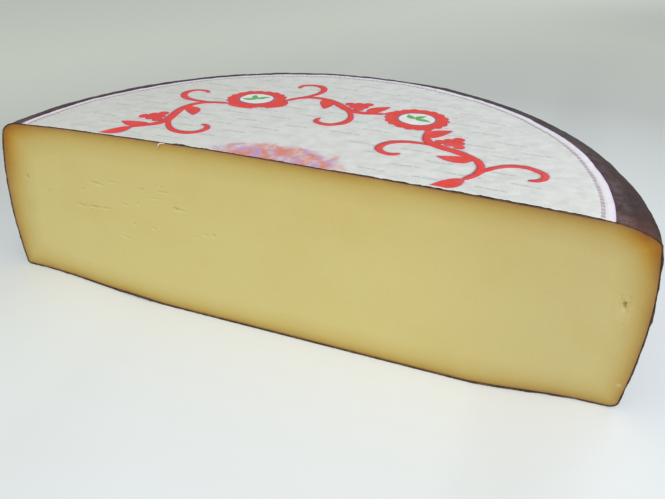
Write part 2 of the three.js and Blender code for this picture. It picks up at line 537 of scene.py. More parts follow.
@dataclass(frozen=True)
class Wheel:
    """The outline of the wheel at every turn: 0 at the right of the cut, pi at the left."""

    radius: float = 155.1
    height: float = 90.85
    top_dome: float = 2.2
    base_lift_radius: float = 145.0
    base_lift: float = 5.6
    label_radius: float = 134.0
    end_reach: int = 4
    right: RimSizes = RimSizes(85, 47, 5.4, 3.7, 19, 6.7, 1.8, 4, 3)
    back: RimSizes = RimSizes(112, 38, 7, 3.2, 11.5, 10.5, 2.2, 3.5, 3)
    left: RimSizes = RimSizes(62, 29, 10.8, 1.5, 9.7, 6.8, 2.2, 1.5, 2)
    waves: tuple[tuple[int, float, float], ...] = ((3, 0.35, 0.4), (5, 0.25, 2.1), (8, 0.15, 4.0))
    dip: float = 2.1  # how far the shoulder by the right end is pressed in
    dip_turn: float = 0.36
    dip_width: float = 0.17
    left_rise: float = 0.5  # how much higher the top is along the cut's left half
    left_start: Span = (-30.0, 40.0)  # how far left that starts and is full
    left_end: Span = (112.0, 142.0)  # how far left it fades and is gone
    left_depth: float = 30.0  # how far behind the cut it reaches
    back_drop: float = 0.8  # how much lower the top is at the back
    drop_span: Span = (40.0, 120.0)  # how far behind the cut that starts and is full
    drop_skew: float = 0.17  # how much nearer to the cut it starts on the left
    nick_across: float = -80.0  # where a worn place of the base's edge is
    nick_size: Span = (13.0, 20.0)  # how far it reaches across and back
    nick_lift: float = 0.5
    top_part: Span = (60.0, 85.0)  # the heights between which the top's wear starts
    base_part: Span = (2.0, 20.0)  # the heights between which the base's wear ends

    def size(self, name: str, turn: Array) -> Array:
        """Returns one of the rim's sizes at a turn."""
        along = np.cos(turn)
        end = np.where(along > 0, getattr(self.right, name), getattr(self.left, name))
        back = getattr(self.back, name)
        return back + (end - back) * along**self.end_reach

    def side_radius(self, height: Array, turn: Array) -> Array:
        """Returns the side's radius at a height, without its rounded corners."""
        widest = self.size("widest_height", turn)
        above = np.maximum(0, height - widest) / (self.height - widest)
        below = np.maximum(0, widest - height) / widest
        wave = sum(size * np.sin(count * turn + phase) for count, size, phase in self.waves)
        lean = self.size("top_lean", turn) * above**2 + self.size("foot_lean", turn) * below**2
        pressed = self.dip * np.exp(-(((turn - self.dip_turn) / self.dip_width) ** 2) / 2)
        return self.radius + wave * np.sin(turn) ** 2 - lean - pressed * np.clip(above, 0, 1) ** 2

    def cut_lift(self, across: Array) -> Array:
        """Returns how high the base lies along the cut."""
        left, right = self.left.base_flat_radius, self.right.base_flat_radius
        flat = np.where(across > 0, right, left)
        return self.base_lift * smooth_step(np.abs(across), flat, self.base_lift_radius)

    def top_height(self, radius: Array) -> Array:
        """Returns the height of the domed top."""
        return self.height - self.top_dome * (radius / self.label_radius) ** 2

    def outline(self, turn: Array, place: Array) -> tuple[Array, Array]:
        """Finds points of the outline.

        Args:
            turn: the turns round the wheel.
            place: how far along the outline, as a Stretch and a share of it.

        Returns:
            The radius and the height of each point.
        """
        turn, place = np.broadcast_arrays(np.asarray(turn, float), np.asarray(place, float))
        share = {stretch: np.clip(place - stretch, 0, 1) for stretch in Stretch}
        flat = self.size("base_flat_radius", turn)
        heel_width = self.size("heel_width", turn)
        heel_height = self.size("heel_height", turn)
        heel_radius = self.side_radius(np.full_like(turn, self.base_lift), turn) - heel_width
        base_radius = flat * share[Stretch.FLAT] + (heel_radius - flat) * share[Stretch.RISE]
        base_height = self.base_lift * smooth_step(base_radius, flat, self.base_lift_radius)
        angle = share[Stretch.HEEL] * math.pi / 2
        rise = self.base_lift + heel_height * (1 - np.cos(angle))
        heel = self.side_radius(rise, turn) - heel_width * (1 - np.sin(angle))
        shoulder_height = self.size("shoulder_height", turn)
        side_from = self.base_lift + heel_height
        side_to = self.top_height(self.label_radius) - shoulder_height
        side_height = between(share[Stretch.SIDE], side_from, side_to)
        climb = np.sin(share[Stretch.SHOULDER] * math.pi / 2)
        shoulder = side_to + shoulder_height * climb
        power = self.size("shoulder_power", turn)
        inset = self.size("shoulder_width", turn) * (1 - (1 - climb**power) ** (1 / power))
        shoulder_radius = self.side_radius(shoulder, turn) - inset
        rim = self.side_radius(side_to + shoulder_height, turn) - self.size("shoulder_width", turn)
        top_radius = rim * (1 - share[Stretch.TOP])
        step = side_to + shoulder_height - self.top_height(rim)
        top = self.top_height(top_radius) + step * (top_radius / rim) ** 8
        ends = (Stretch.HEEL, Stretch.SIDE, Stretch.SHOULDER, Stretch.TOP)
        stretches = [place < end for end in ends]
        side = self.side_radius(side_height, turn)
        radius = np.select(stretches, [base_radius, heel, side, shoulder_radius], top_radius)
        height = np.select(stretches, [base_height, rise, side_height, shoulder], top)
        return radius, height + self.wear(radius * np.cos(turn), radius * np.sin(turn), height)

    def wear(self, across: Array, back: Array, up: Array) -> Array:
        """Returns how much the wheel's sag and wear raise places of the outline."""
        left = smooth_step(-across, *self.left_start) - smooth_step(-across, *self.left_end)
        left *= np.exp(-((back / self.left_depth) ** 2))
        away = back + self.drop_skew * np.maximum(-across, 0)
        top = self.left_rise * left - self.back_drop * smooth_step(away, *self.drop_span)
        reach_across, reach_back = self.nick_size
        off_nick = ((across - self.nick_across) / reach_across) ** 2 + (back / reach_back) ** 2
        nick = self.nick_lift * np.exp(-off_nick)
        return top * smooth_step(up, *self.top_part) + nick * (1 - smooth_step(up, *self.base_part))

    def inset(self, turn: Array, place: Array, depth: Array | float) -> tuple[Array, Array]:
        """Finds points below the outline, square to it.

        Args:
            turn: the turns round the wheel.
            place: how far along the outline.
            depth: how far under the outline, or above it where negative.

        Returns:
            The radius and the height of each point.
        """
        nudge = 1e-3
        before = self.outline(turn, np.clip(place - nudge, 0, Stretch.MIDDLE))
        after = self.outline(turn, np.clip(place + nudge, 0, Stretch.MIDDLE))
        run = after[0] - before[0]
        climb = after[1] - before[1]
        length = np.hypot(run, climb)
        radius, height = self.outline(turn, place)
        return radius - depth * climb / length, height + depth * run / length

    def points(self, turn: Array, place: Array, depth: Array | float = 0.0) -> Array:
        """Returns points at or below the wheel's skin as across, back and up."""
        turn, place = np.broadcast_arrays(turn, place)
        radius, height = self.inset(turn, place, depth)
        radius = np.maximum(radius, 0)
        return np.stack([radius * np.cos(turn), radius * np.sin(turn), height], axis=-1)

    def skin(self, places: Array, turns: Array, depth: float = 0.0) -> Array:
        """Returns a table of skin points, one row for each turn."""
        return self.points(turns[:, None], places[None, :], depth)


@dataclass(frozen=True)
class PatchyFinish:
    """A dull finish of two shades in patches, with a fine grain. Sizes are in millimetres."""

    name: str
    shade: Shade
    other: Shade
    patch: float = 9.0
    patch_span: Span = (0.45, 0.75)  # the noise at which the other shade starts and is full
    grain: float = 0.7
    relief: float = 0.04
    strength: float = 0.3
    roughness: float = 0.6
    specular: float = 0.35

    def material(self) -> Material:
        """Returns the finish."""
        script = MaterialScript(self.name)
        patches = script.noise(script.object_place, self.patch, detail=4, roughness=0.6)
        grain = script.noise(script.object_place, self.grain, detail=3)
        colour = script.mix(script.ramp(patches, *self.patch_span), self.shade, self.other)
        relief = script.bump(grain, self.relief, self.strength)
        return script.finish(
            Base_Color=colour,
            Roughness=self.roughness,
            Normal=relief,
            Specular_IOR_Level=self.specular,
        )


# Paste


@dataclass(frozen=True)
class Hollow:
    """An eye, slit or dent of the cut face.

    Its middle lies across and up, its length runs along the layers, slope is its tilt, swell is
    how much fatter its right end is, and lip is how far the paste below it stands out.
    """

    across: float
    up: float
    length: float
    height: float = 0.9
    depth: float = 1.3
    slope: float = 0.0
    swell: float = 0.0
    lip: float = 0.1

    RAGGEDNESS = 0.16  # how far its edge wanders, as a share of its height
    LEAST_HALF = 0.15
    ROUNDNESS = 0.6  # the power that shapes its floor
    LIP_OFFSET = 1.5  # how far below its middle the lip is, in half heights
    LIP_REACH = 1.15

    def depth_at(self, across: Array, up: Array, wobble: Array) -> Array:
        """Finds how deep the hollow is at places of the face.

        Args:
            across: the places' distance to the right of the axis.
            up: their height.
            wobble: an unevenness of about 1 at each.

        Returns:
            The depth, negative on the raised lip.
        """
        cos, sin = math.cos(self.slope), math.sin(self.slope)
        along = ((across - self.across) * cos + (up - self.up) * sin) / (self.length / 2)
        over = (up - self.up) * cos - (across - self.across) * sin
        half = self.height / 2 * (1 + self.swell * np.clip(along, -1, 1))
        over = (over + self.RAGGEDNESS * self.height * wobble) / np.maximum(half, self.LEAST_HALF)
        far = along**2 + over**2
        bowl = self.depth * np.maximum(0, 1 - far) ** self.ROUNDNESS
        below = np.exp(-((over + self.LIP_OFFSET) ** 2))
        below *= np.maximum(0, self.LIP_REACH - along**2)
        return bowl - self.lip * below * (far > 1)


@dataclass(frozen=True)
class AmberSpot:
    """A place of the cut face where the amber under the rind reaches further in.

    Its gain is how much further, and its warmth how far it turns to the corner's orange.
    """

    across: float
    up: float
    radius: float
    gain: float
    warmth: float = 0.0

    def share(self, across: Array, up: Array) -> Array:
        """Returns the spot's strength at places of the face, 1 in its middle."""
        far = (across - self.across) ** 2 + (up - self.up) ** 2
        return np.exp(-far / (2 * self.radius**2))


@dataclass(frozen=True)
class PasteFinish:
    """Knife-cut semi-hard paste: pale straw, amber under the rind, a dull gloss."""

    name: str = "cut_paste"
    amber_reach: float = 14.0
    amber: Stops = (
        (0.0, Shade(144, 106, 58)),
        (0.05, Shade(164, 129, 70)),
        (0.14, Shade(178, 150, 76)),
        (0.21, Shade(184, 158, 83)),
        (0.29, Shade(189, 166, 92)),
        (0.43, Shade(194, 175, 105)),
        (0.62, Shade(198, 182, 114)),
        (1.0, Shade(203, 189, 123)),
    )
    orange: Stops = (
        (0.0, Shade(138, 90, 22)),
        (0.09, Shade(164, 111, 14)),
        (0.16, Shade(176, 130, 28)),
        (0.22, Shade(184, 144, 46)),
        (0.3, Shade(189, 157, 70)),
        (0.4, Shade(193, 167, 92)),
        (0.62, Shade(198, 180, 111)),
        (1.0, Shade(203, 189, 123)),
    )
    patch: Shade = Shade(252, 249, 243)
    speck: Shade = Shade(252, 251, 249)
    # painted shade: the paste is made a little darker towards the top
    dry: Shade = Shade(250, 247, 243)
    top_shade_span: Span = (40.0, 88.0)  # the heights where the painted shade, darker towards the top, starts and is full
    right_end: Shade = Shade(243, 241, 248)
    right_span: Span = (40.0, 140.0)  # where across its tint starts and is full
    # painted highlight on the raised lips below the hollows
    lip: Shade = Shade(214, 205, 142)
    # painted shade in the eyes, slits and dents, deeper ones darker
    hollow: Shade = Shade(180, 165, 98)

    def material(self) -> Material:
        """Returns the finish, which reads the numbers that the paste keeps for its face."""
        script = MaterialScript(self.name)
        place = script.object_place
        blotch = script.noise(place, 34, detail=3)
        distance = script.attribute("edge_distance")
        wander = script.calc("MULTIPLY_ADD", script.noise(place, 9), 1.2, -0.6)
        share = script.calc("DIVIDE", script.plus(distance, wander), self.amber_reach)
        share = script.calc("MAXIMUM", share, 0.0)
        warmth = script.attribute("warmth")
        plain = script.colours(share, self.amber)
        straw = script.mix(warmth, plain, script.colours(share, self.orange))
        patchy = script.mix(script.ramp(blotch, 0.45, 0.75), straw, self.patch, "MULTIPLY")
        grain = script.noise(place, 1.1, detail=4, roughness=0.65)
        grained = script.mix(script.ramp(grain, 0.3, 0.7), patchy, self.speck, "MULTIPLY")
        # Painted highlight: the raised lips are paler.
        lip_lit = script.mix(script.attribute("lip"), grained, self.lip)
        across, _, up = script.split(place)
        # Painted shade: darker towards the top.
        top_shaded = script.mix(script.ramp_mm(up, self.top_shade_span), lip_lit, self.dry, "MULTIPLY")
        right = script.ramp_mm(across, self.right_span)
        top_shaded = script.mix(right, top_shaded, self.right_end, "MULTIPLY")
        # Painted shade: the hollows are darkened by their depth.
        colour = script.mix(script.attribute("hollow"), top_shaded, self.hollow)
        knife = script.noise(script.join(script.times(across, 0.12), 0.0, up), 1.6)
        relief = script.bump(grain, 0.05, 0.35, script.bump(knife, 0.08, 0.25))
        dull = script.ramp(grain, 0.3, 0.75, (0.46, 0.6))
        return script.finish(
            Base_Color=colour,
            Roughness=dull,
            Normal=relief,
            Specular_IOR_Level=0.35,
            Subsurface_Weight=0.15,
            Subsurface_Radius=(1.0, 0.62, 0.25),
            Subsurface_Scale=0.001,
        )


@dataclass
class Paste:
    """The block of paste: a finely divided cut face over a plain body under the rind."""

    wheel: Wheel
    finish: PasteFinish = PasteFinish()
    rind_depth: float = 0.4  # how far under the wheel's skin the cut face ends, inside the rind
    back_depth: float = 0.97  # the same behind the cut face
    fine_column: float = 0.66
    fine_row: float = 0.3
    pit_column: float = 0.44
    coarse: float = 1.3
    edge_step: float = 0.45
    slit_span: Span = (-141.0, -27.0)  # where across the slits lie
    pit_span: Span = (141.0, 148.0)  # where across the right end's eye lies
    layer_span: Span = (35.0, 70.0)  # how high up the slits and the eye lie
    margin: float = 5.0  # how far from its edge the face's grid is finer
    easing: float = 3.0  # how far a finer stretch takes to start
    back_steps: int = 20
    face_wave: float = 0.1
    hollow_shade_depth: float = 1.5  # the depth at which the painted shade in a hollow is full
    lip_highlight_height: float = 0.2  # the height at which the painted highlight on a lip is full
    hollows: tuple[Hollow, ...] = (
        Hollow(144.8, 55.5, 1.4, 2.6, 1.6, lip=0.12),
        Hollow(144.8, 56.4, 6.6, 6.6, 0.18, lip=0.05),
        Hollow(-138.0, 60.8, 1.4, 2.0, 1.6, lip=0.02),
        Hollow(-50.6, 58.6, 2.4, 1.7, 1.0, swell=-0.3),
        Hollow(-47.6, 58.4, 5.6, 0.8, 0.45),
        Hollow(-31.6, 48.3, 1.8, 1.4, 0.6),
        Hollow(-36.0, 47.6, 4.2, 1.0, 0.5, slope=-0.22, swell=0.5),
        Hollow(-95.1, 64.2, 8.8, 0.9, 0.6, slope=-0.05, swell=0.7),
        Hollow(-85.2, 66.2, 4.9, 0.8, 0.42, slope=0.02),
        Hollow(-107.2, 50.4, 6.0, 0.9, 0.7, slope=-0.07, swell=0.4),
        Hollow(-98.6, 50.8, 7.0, 0.8, 0.75, slope=0.03, swell=-0.3),
        Hollow(-91.6, 51.1, 6.8, 0.7, 0.55, slope=0.06, swell=-0.4),
        Hollow(-79.9, 55.6, 3.8, 0.9, 0.4, slope=-0.14),
        Hollow(-69.0, 65.6, 4.4, 0.9, 0.45, slope=-0.2, swell=0.5),
        Hollow(-57.2, 66.0, 10.3, 0.7, 0.4, slope=0.01, swell=0.5),
        Hollow(-61.0, 61.9, 12.0, 0.6, 0.22, slope=0.03),
        Hollow(-82.4, 36.9, 6.6, 0.9, 0.3, slope=-0.12),
        Hollow(-104.2, 59.4, 2.2, 1.2, 0.35),
        Hollow(-71.8, 57.3, 1.5, 1.2, 0.45),
        Hollow(-75.9, 45.5, 2.6, 1.0, 0.45),
        Hollow(-64.9, 45.3, 2.4, 1.2, 0.5),
        Hollow(-56.9, 68.6, 2.2, 0.9, 0.25),
        Hollow(-41.8, 45.4, 3.0, 0.7, 0.3),
        Hollow(-126.0, 55.0, 3.2, 2.6, 0.25, lip=0.0),
        Hollow(-142.6, 45.5, 3.0, 2.6, 0.25, lip=0.0),
        Hollow(150.6, 16.8, 3.0, 0.9, 0.5, slope=2.6, lip=0.1),
        Hollow(6.3, 1.0, 2.4, 1.1, 0.6, lip=0.0),
    )
    amber_spots: tuple[AmberSpot, ...] = (
        AmberSpot(-146, 85, 14, 0.65, warmth=0.9),
        AmberSpot(-152, 62, 14, 0.8, warmth=0.15),
        AmberSpot(-153, 32, 14, 0.5),
        AmberSpot(152, 84.5, 9.5, 0.4, warmth=0.9),
        AmberSpot(146, 82.5, 6.0, 0.5, warmth=0.3),
        AmberSpot(156, 60, 12, 0.2, warmth=0.1),
    )

    def rim_distance(self, across: Array, up: Array) -> Array:
        """Returns how far places of the face are from the wheel's skin."""
        places = np.linspace(0, Stretch.MIDDLE, 1400)
        rim = np.concatenate([self.wheel.points(turn, places) for turn in (0.0, math.pi)])
        tree = KDTree(len(rim))
        for number, (x, _, z) in enumerate(rim):
            tree.insert((x, z, 0.0), number)
        tree.balance()
        flat = zip(across.ravel().tolist(), up.ravel().tolist())
        found = [tree.find((x, z, 0.0))[2] for x, z in flat]
        return np.array(found).reshape(across.shape)

    def columns(self) -> Array:
        """Returns the columns' shares of the face's half width, the same number on each side."""
        edge = self.wheel.radius
        slit_from, slit_to = self.slit_span
        pit_from, pit_to = self.pit_span
        left = graded(
            (-edge, self.edge_step),
            (self.margin - edge, self.coarse),
            (slit_from - self.easing, self.coarse),
            (slit_from, self.fine_column),
            (slit_to, self.fine_column),
            (slit_to + self.easing, self.coarse),
            (0, self.coarse),
        )
        right = graded(
            (0, self.coarse),
            (pit_from - self.easing, self.coarse),
            (pit_from, self.pit_column),
            (pit_to, self.pit_column),
            (edge, self.edge_step),
        )
        right = respaced(right, len(left) - 1)
        return np.concatenate([left, right[1:]]) / edge

    def rows(self) -> Array:
        """Returns the rows' shares of the face's height."""
        top = self.wheel.height
        layer_from, layer_to = self.layer_span
        rows = graded(
            (0, self.edge_step),
            (self.margin, self.edge_step * 1.5),
            (12, self.coarse),
            (layer_from - self.easing, self.coarse),
            (layer_from, self.fine_row),
            (layer_to, self.fine_row),
            (layer_to + self.easing, 1.0),
            (top - self.margin, self.edge_step),
            (top, self.edge_step * 0.8),
        )
        return rows / top

    def edge_places(self, turn: float, stretch: Span, axis: int, wanted: Array) -> Array:
        """Finds where along the outline the block's edge has wanted radii or heights.

        Args:
            turn: the turn of the outline.
            stretch: the places between which to look.
            axis: 0 for radii, 1 for heights.
            wanted: shares of the way from the first place's value to the last one's.

        Returns:
            The places along the outline.
        """
        places = np.linspace(*stretch, 1500)
        values = self.wheel.inset(np.full_like(places, turn), places, self.rind_depth)[axis]
        order = np.argsort(values)
        goal = between(wanted, values[0], values[-1])
        return np.interp(goal, values[order], places[order])

    def face(self) -> tuple[Array, Array, Array]:
        """Spans the cut face between its four edges.

        Returns:
            The face's table of points, row by row, and the places along the outline of its right
            and left edges, each from the middle of the base round to the middle of the top.
        """
        columns = self.columns()
        rows = self.rows()
        heel = Stretch.HEEL + 0.5
        shoulder = Stretch.SHOULDER + 0.5
        halves = []
        for turn, shares in ((0.0, columns[columns >= 0]), (math.pi, -columns[columns <= 0][::-1])):
            base = self.edge_places(turn, (0.0, heel), 0, shares)
            side = self.edge_places(turn, (heel, shoulder), 1, rows)
            top = self.edge_places(turn, (Stretch.MIDDLE, shoulder), 0, shares)
            halves.append((base, side, top))
        edges = [
            [self.wheel.points(turn, places, self.rind_depth) for places in half]
            for turn, half in zip((0.0, math.pi), halves)
        ]
        (base_right, right, top_right), (base_left, left, top_left) = edges
        base = np.concatenate([base_left[:0:-1], base_right])
        top = np.concatenate([top_left[:0:-1], top_right])
        u = ((columns + 1) / 2)[None, :, None]
        v = rows[:, None, None]
        table = between(v, base[None], top[None]) + between(u, left[:, None], right[:, None])
        table -= between(v, between(u, base[0], base[-1]), between(u, top[0], top[-1]))
        rounds = [np.concatenate([low, side[1:-1], high[::-1]]) for low, side, high in halves]
        return table, *rounds

    def build(self) -> Object:
        """Builds the block with the face's relief and the numbers that its finish reads."""
        table, right_places, left_places = self.face()
        across, up = table[..., 0], table[..., 2]
        distance = self.rim_distance(across, up)
        inside = smooth_step(distance, 1.2, 4.0)
        wobble = Unevenness(11, 2.6).at(table)
        depth = np.zeros_like(across)
        lips = np.zeros_like(across)
        for hollow in self.hollows:
            one = hollow.depth_at(across, up, wobble)
            depth = np.maximum(depth, one)
            lips = np.minimum(lips, one)
        wave = Unevenness(5, 38).at(table) + 0.4 * Unevenness(6, 9).at(table)
        relief = np.where(depth > 0, depth, lips) + self.face_wave * (0.6 + 0.4 * wave)
        table[..., 1] = relief * inside
        draft = Draft()
        numbers = draft.add_points(table)
        draft.add_grid(numbers)
        middle = numbers.shape[1] // 2
        rim_right, rim_left = (
            np.concatenate([half[0], half[1:-1, -1], half[-1][::-1]])
            for half in (numbers[:, middle:], numbers[:, middle::-1])
        )
        shares = np.linspace(0, 1, self.back_steps + 1)[1:-1, None]
        places = between(shares, right_places, left_places)
        back = draft.add_points(self.wheel.points(shares * math.pi, places, self.back_depth))
        back[:, 0] = rim_right[0]
        back[:, -1] = rim_right[-1]
        draft.add_grid(np.concatenate([rim_right[None], back, rim_left[None]]))
        mesh = draft.mesh("paste")
        reach = np.ones_like(across)
        warmth = np.zeros_like(across)
        for spot in self.amber_spots:
            share = spot.share(across, up)
            reach += spot.gain * share
            warmth += spot.warmth * share
        numbers_of_face = {
            "edge_distance": distance / reach,
            "warmth": np.clip(warmth, 0, 1),
            "hollow": np.clip(depth / self.hollow_shade_depth, 0, 1),
            "lip": np.clip(-lips / self.lip_highlight_height, 0, 1),
        }
        behind = len(mesh.vertices) - across.size
        for name, values in numbers_of_face.items():
            put_numbers(mesh, name, np.pad(values.ravel(), (0, behind)))
        return smooth(new_piece("paste", mesh, self.finish.material()), 70)


# Rind


@dataclass(frozen=True)
class RindFinish:
    """Dry wine-stained rind: dark plum with red-brown mottling and a fine cloth mark."""

    name: str = "wine_rind"
    dark: Shade = Shade(42, 27, 25)
    plum: Shade = Shade(63, 42, 38)
    rust: Shade = Shade(86, 49, 39)
    bloom: Shade = Shade(106, 84, 80)
    # part real wear, part painted sheen: the rind is paler on the top by the label
    wear_and_sheen: Shade = Shade(114, 92, 97)
    wine: Shade = Shade(104, 60, 46)
    # painted sheen: the rind is made greyer towards the back
    grey: Shade = Shade(66, 64, 63)
    top_span: Span = (74.0, 84.0)  # the heights where the top's wear, painted sheen and painted shoulder shade start and are full
    shoulder_shade_span: Span = (147.0, 153.0)  # the radii where the painted shade on the shoulder's outer edge starts and is full
    sheen_band_span: Span = (137.0, 143.5)  # the radii where the paler band by the label, part wear and part painted sheen, fades out
    wine_span: Span = (0.0, 14.0)  # how far behind the cut the right corner is redder
    corner_span: Span = (100.0, 140.0)  # where across that corner starts and is full
    back_sheen_span: Span = (40.0, 100.0)  # how far behind the cut the painted grey sheen starts and is full

    def material(self) -> Material:
        """Returns the finish. The cloth mark follows the piece's UV map, in metres."""
        script = MaterialScript(self.name)
        place = script.object_place
        mottle = script.noise(place, 13, detail=5, roughness=0.6)
        fine = script.noise(place, 1.2, detail=4, roughness=0.7)
        ground = script.mix(script.ramp(mottle, 0.36, 0.66), self.dark, self.plum)
        rusty = script.noise(place, 7, detail=5, roughness=0.65, distortion=0.4)
        stained = script.mix(script.ramp(rusty, 0.52, 0.72, (0.0, 0.75)), ground, self.rust)
        across, back, up = script.split(script.from_axis(place))
        radius = script.measure("LENGTH", script.join(across, back, 0.0))
        high = script.ramp_mm(up, self.top_span)
        by_cut = script.ramp_mm(back, self.wine_span, (0.6, 0.0))
        corner = script.times(by_cut, script.ramp_mm(across, self.corner_span), high)
        stained = script.mix(corner, stained, self.wine)
        # Part wear, part painted sheen: a paler band by the label's edge.
        pale = script.ramp_mm(radius, self.sheen_band_span, (1.0, 0.0))
        scuffs = script.noise(place, 4.5, detail=4, roughness=0.65)
        flecks = script.times(by_cut, script.ramp(fine, 0.46, 0.6, (0.1, 1.3)))
        wear_and_sheen_share = script.plus(script.ramp(scuffs, 0.34, 0.66, (0.1, 0.65)), flecks)
        wear_and_sheen_share = script.calc("MULTIPLY", script.times(pale, high), wear_and_sheen_share, clamp=True)
        stained = script.mix(wear_and_sheen_share, stained, self.wear_and_sheen)
        # Painted sheen: greyer towards the back.
        stained = script.mix(script.ramp_mm(back, self.back_sheen_span, (0.0, 0.6)), stained, self.grey)
        # Painted shade: the shoulder darkens towards its outer edge.
        edge = script.ramp_mm(radius, self.shoulder_shade_span, (0.0, 0.65))
        stained = script.mix(script.times(edge, high), stained, self.dark)
        surface = script.add("ShaderNodeUVMap", uv_map="skin").outputs[0]
        over_rim = script.vector("MULTIPLY", surface, (1.0, 0.22, 1.0))
        streaks = script.noise(over_rim, 1.0, detail=3, roughness=0.6)
        inputs = {"Vector": surface, "Scale": 160, "Distortion": 3.0, "Detail Scale": 2.0}
        threads = script.add("ShaderNodeTexWave", inputs, bands_direction="Y").outputs[1]
        speck = script.times(script.ramp(fine, 0.54, 0.75), 0.48)
        speckled = script.mix(speck, stained, self.bloom)
        dusty = script.mix(script.ramp(streaks, 0.54, 0.74, (0.0, 0.5)), speckled, self.bloom)
        cloth = script.plus(script.times(threads, 0.35), streaks)
        relief = script.bump(cloth, 0.22, 0.5, script.bump(fine, 0.18, 0.45))
        dull = script.ramp(mottle, 0.3, 0.7, (0.6, 0.74))
        return script.finish(
            Base_Color=dusty, Roughness=dull, Normal=relief, Specular_IOR_Level=0.16
        )


@dataclass
class Rind:
    """The rind: a thin shell over the paste, and the ragged rim where it was cut."""

    wheel: Wheel
    finish: RindFinish = RindFinish()
    cut_finish: PatchyFinish = PatchyFinish(
        "cut_rind", Shade(60, 44, 28), Shade(104, 80, 48), 5, (0.42, 0.68), 0.8, 0.1, 0.5, 0.62
    )
    thickness: float = 1.0
    set_back: float = 0.12  # how far the shell stays behind the cut face
    inner_steps: int = 24
    swell: float = 0.2
    dimple: float = 0.06
    rim_radius: float = 0.355
    rim_under: float = -0.02  # how far the rim's middle lies under the wheel's skin
    rim_behind: float = 0.1  # how far it lies behind the cut face
    rim_floor: float = 0.22  # how high it lies over the base
    rim_waver: float = 0.1
    rim_low_share: float = 1.15  # how much thicker it is along the base
    rim_top_share: float = 0.75
    rim_right_loss: float = 0.22  # how much thinner it is on the right, but for the base
    rim_base_shadow_out: float = 0.45  # how much further forward it lies along the base, a dark band that partly stands in for the contact shadow there
    rim_least: float = 0.4  # how thick it stays where it is thinnest, as a share
    rim_ragged: float = 0.3
    rim_high: Span = (9.0, 4.0)  # how far below the top that thinning starts and ends
    rim_corner: Span = (-153.0, -136.0)  # where across it starts, by the left corner
    rim_step: float = 0.4
    rim_sides: int = 10

    def turns(self) -> Array:
        """Returns the turns of the shell's rows, closest together by the cut."""
        half = graded((0, 0.004), (0.5, 0.008), (math.pi / 2, 0.011))
        return np.concatenate([half, math.pi - half[-2::-1]])

    def places(self) -> Array:
        """Returns the places along the outline of the shell's columns."""
        return graded(
            (Stretch.FLAT, 0.25),
            (Stretch.RISE, 0.08),
            (Stretch.HEEL, 0.1),
            (Stretch.SIDE, 0.02),
            (Stretch.SHOULDER, 0.035),
            (Stretch.TOP - 0.05, 0.03),
            (Stretch.TOP + 0.1, 0.04),
            (Stretch.MIDDLE, 0.2),
        )

    def bulge(self, points: Array) -> Array:
        """Returns how far the skin stands out at each point."""
        broad = Unevenness(21, 34).at(points)
        small = Unevenness(22, 8).at(points)
        fine = Unevenness(23, 3.2).at(points)
        free = 0.35 + 0.65 * smooth_step(points[..., 1], 0, 14)
        return (self.swell * 0.5 * broad + self.dimple * (small + 0.6 * fine)) * free

    def shell(self) -> Object:
        """Builds the shell, closed round its edge at the cut."""
        turns = self.turns()
        places = self.places()
        skin = self.wheel.skin(places, turns)
        depth = -self.bulge(skin)
        depth[:, 0] = depth[0, 0]
        depth[:, -1] = depth[0, -1]
        outer = self.wheel.points(turns[:, None], places[None, :], depth)
        inner_turns = np.linspace(0, math.pi, self.inner_steps + 1)
        inner = self.wheel.skin(places, inner_turns, self.thickness)
        outer[..., 2] = np.maximum(outer[..., 2], 0)
        draft = Draft()
        tables = []
        for table in (outer, inner):
            table[..., 1] = np.maximum(table[..., 1], self.set_back)
            numbers = draft.add_points(table)
            numbers[:, 0] = numbers[0, 0]
            numbers[:, -1] = numbers[0, -1]
            draft.add_grid(numbers)
            tables.append(numbers)
        for end in (0, -1):
            draft.add_grid(np.stack([tables[0][end], tables[1][end]]))
        mesh = draft.mesh("rind")
        self.map_skin(mesh)
        return smooth(new_piece("rind", mesh, self.finish.material()), 60)

    def map_skin(self, mesh: Mesh) -> None:
        """Gives the shell a UV map in metres: round the wheel, and over its rim."""
        points = np.array([vertex.co for vertex in mesh.vertices]) - WHERE.metres(np.zeros(3))
        across, back, up = points.T
        around = np.arctan2(back, across) * self.wheel.radius * MM
        over = up + (self.wheel.radius * MM - np.hypot(across, back))
        corners = np.array([loop.vertex_index for loop in mesh.loops])
        places = np.stack([around, over], axis=-1)[corners]
        mesh.uv_layers.new(name="skin").data.foreach_set("uv", places.astype(np.float32).ravel())

    def rim_path(self) -> Mesh:
        """Returns the closed path of the cut rim as a mesh of edges."""
        places = np.linspace(0, Stretch.MIDDLE, 700)
        waver = Unevenness(31, 9)
        halves = []
        for turn in (0.0, math.pi):
            depth = self.rim_under - self.rim_waver * waver.at(self.wheel.points(turn, places))
            halves.append(self.wheel.points(turn, places, depth))
        path = np.concatenate([halves[0][1:], halves[1][-2::-1]])
        low = 1 - smooth_step(path[:, 2], 1, 8)
        high = smooth_step(path[:, 2], *(self.wheel.height - below for below in self.rim_high))
        high *= smooth_step(path[:, 0], *self.rim_corner)
        # Along the base the dark rim juts forward, part rind and part painted contact shadow.
        path[:, 1] = self.rim_behind - self.rim_base_shadow_out * low
        path[:, 2] = np.maximum(path[:, 2], self.rim_floor)
        mesh = bpy.data.meshes.new("cut_rim_path")
        count = len(path)
        edges = [(i, (i + 1) % count) for i in range(count)]
        mesh.from_pydata(WHERE.metres(path).tolist(), edges, [])
        share = 1 + (self.rim_low_share - 1) * low + (self.rim_top_share - 1) * high
        share *= 1 - self.rim_right_loss * smooth_step(path[:, 0], 20, 110) * (1 - low)
        put_numbers(mesh, "rim_share", share)
        return mesh

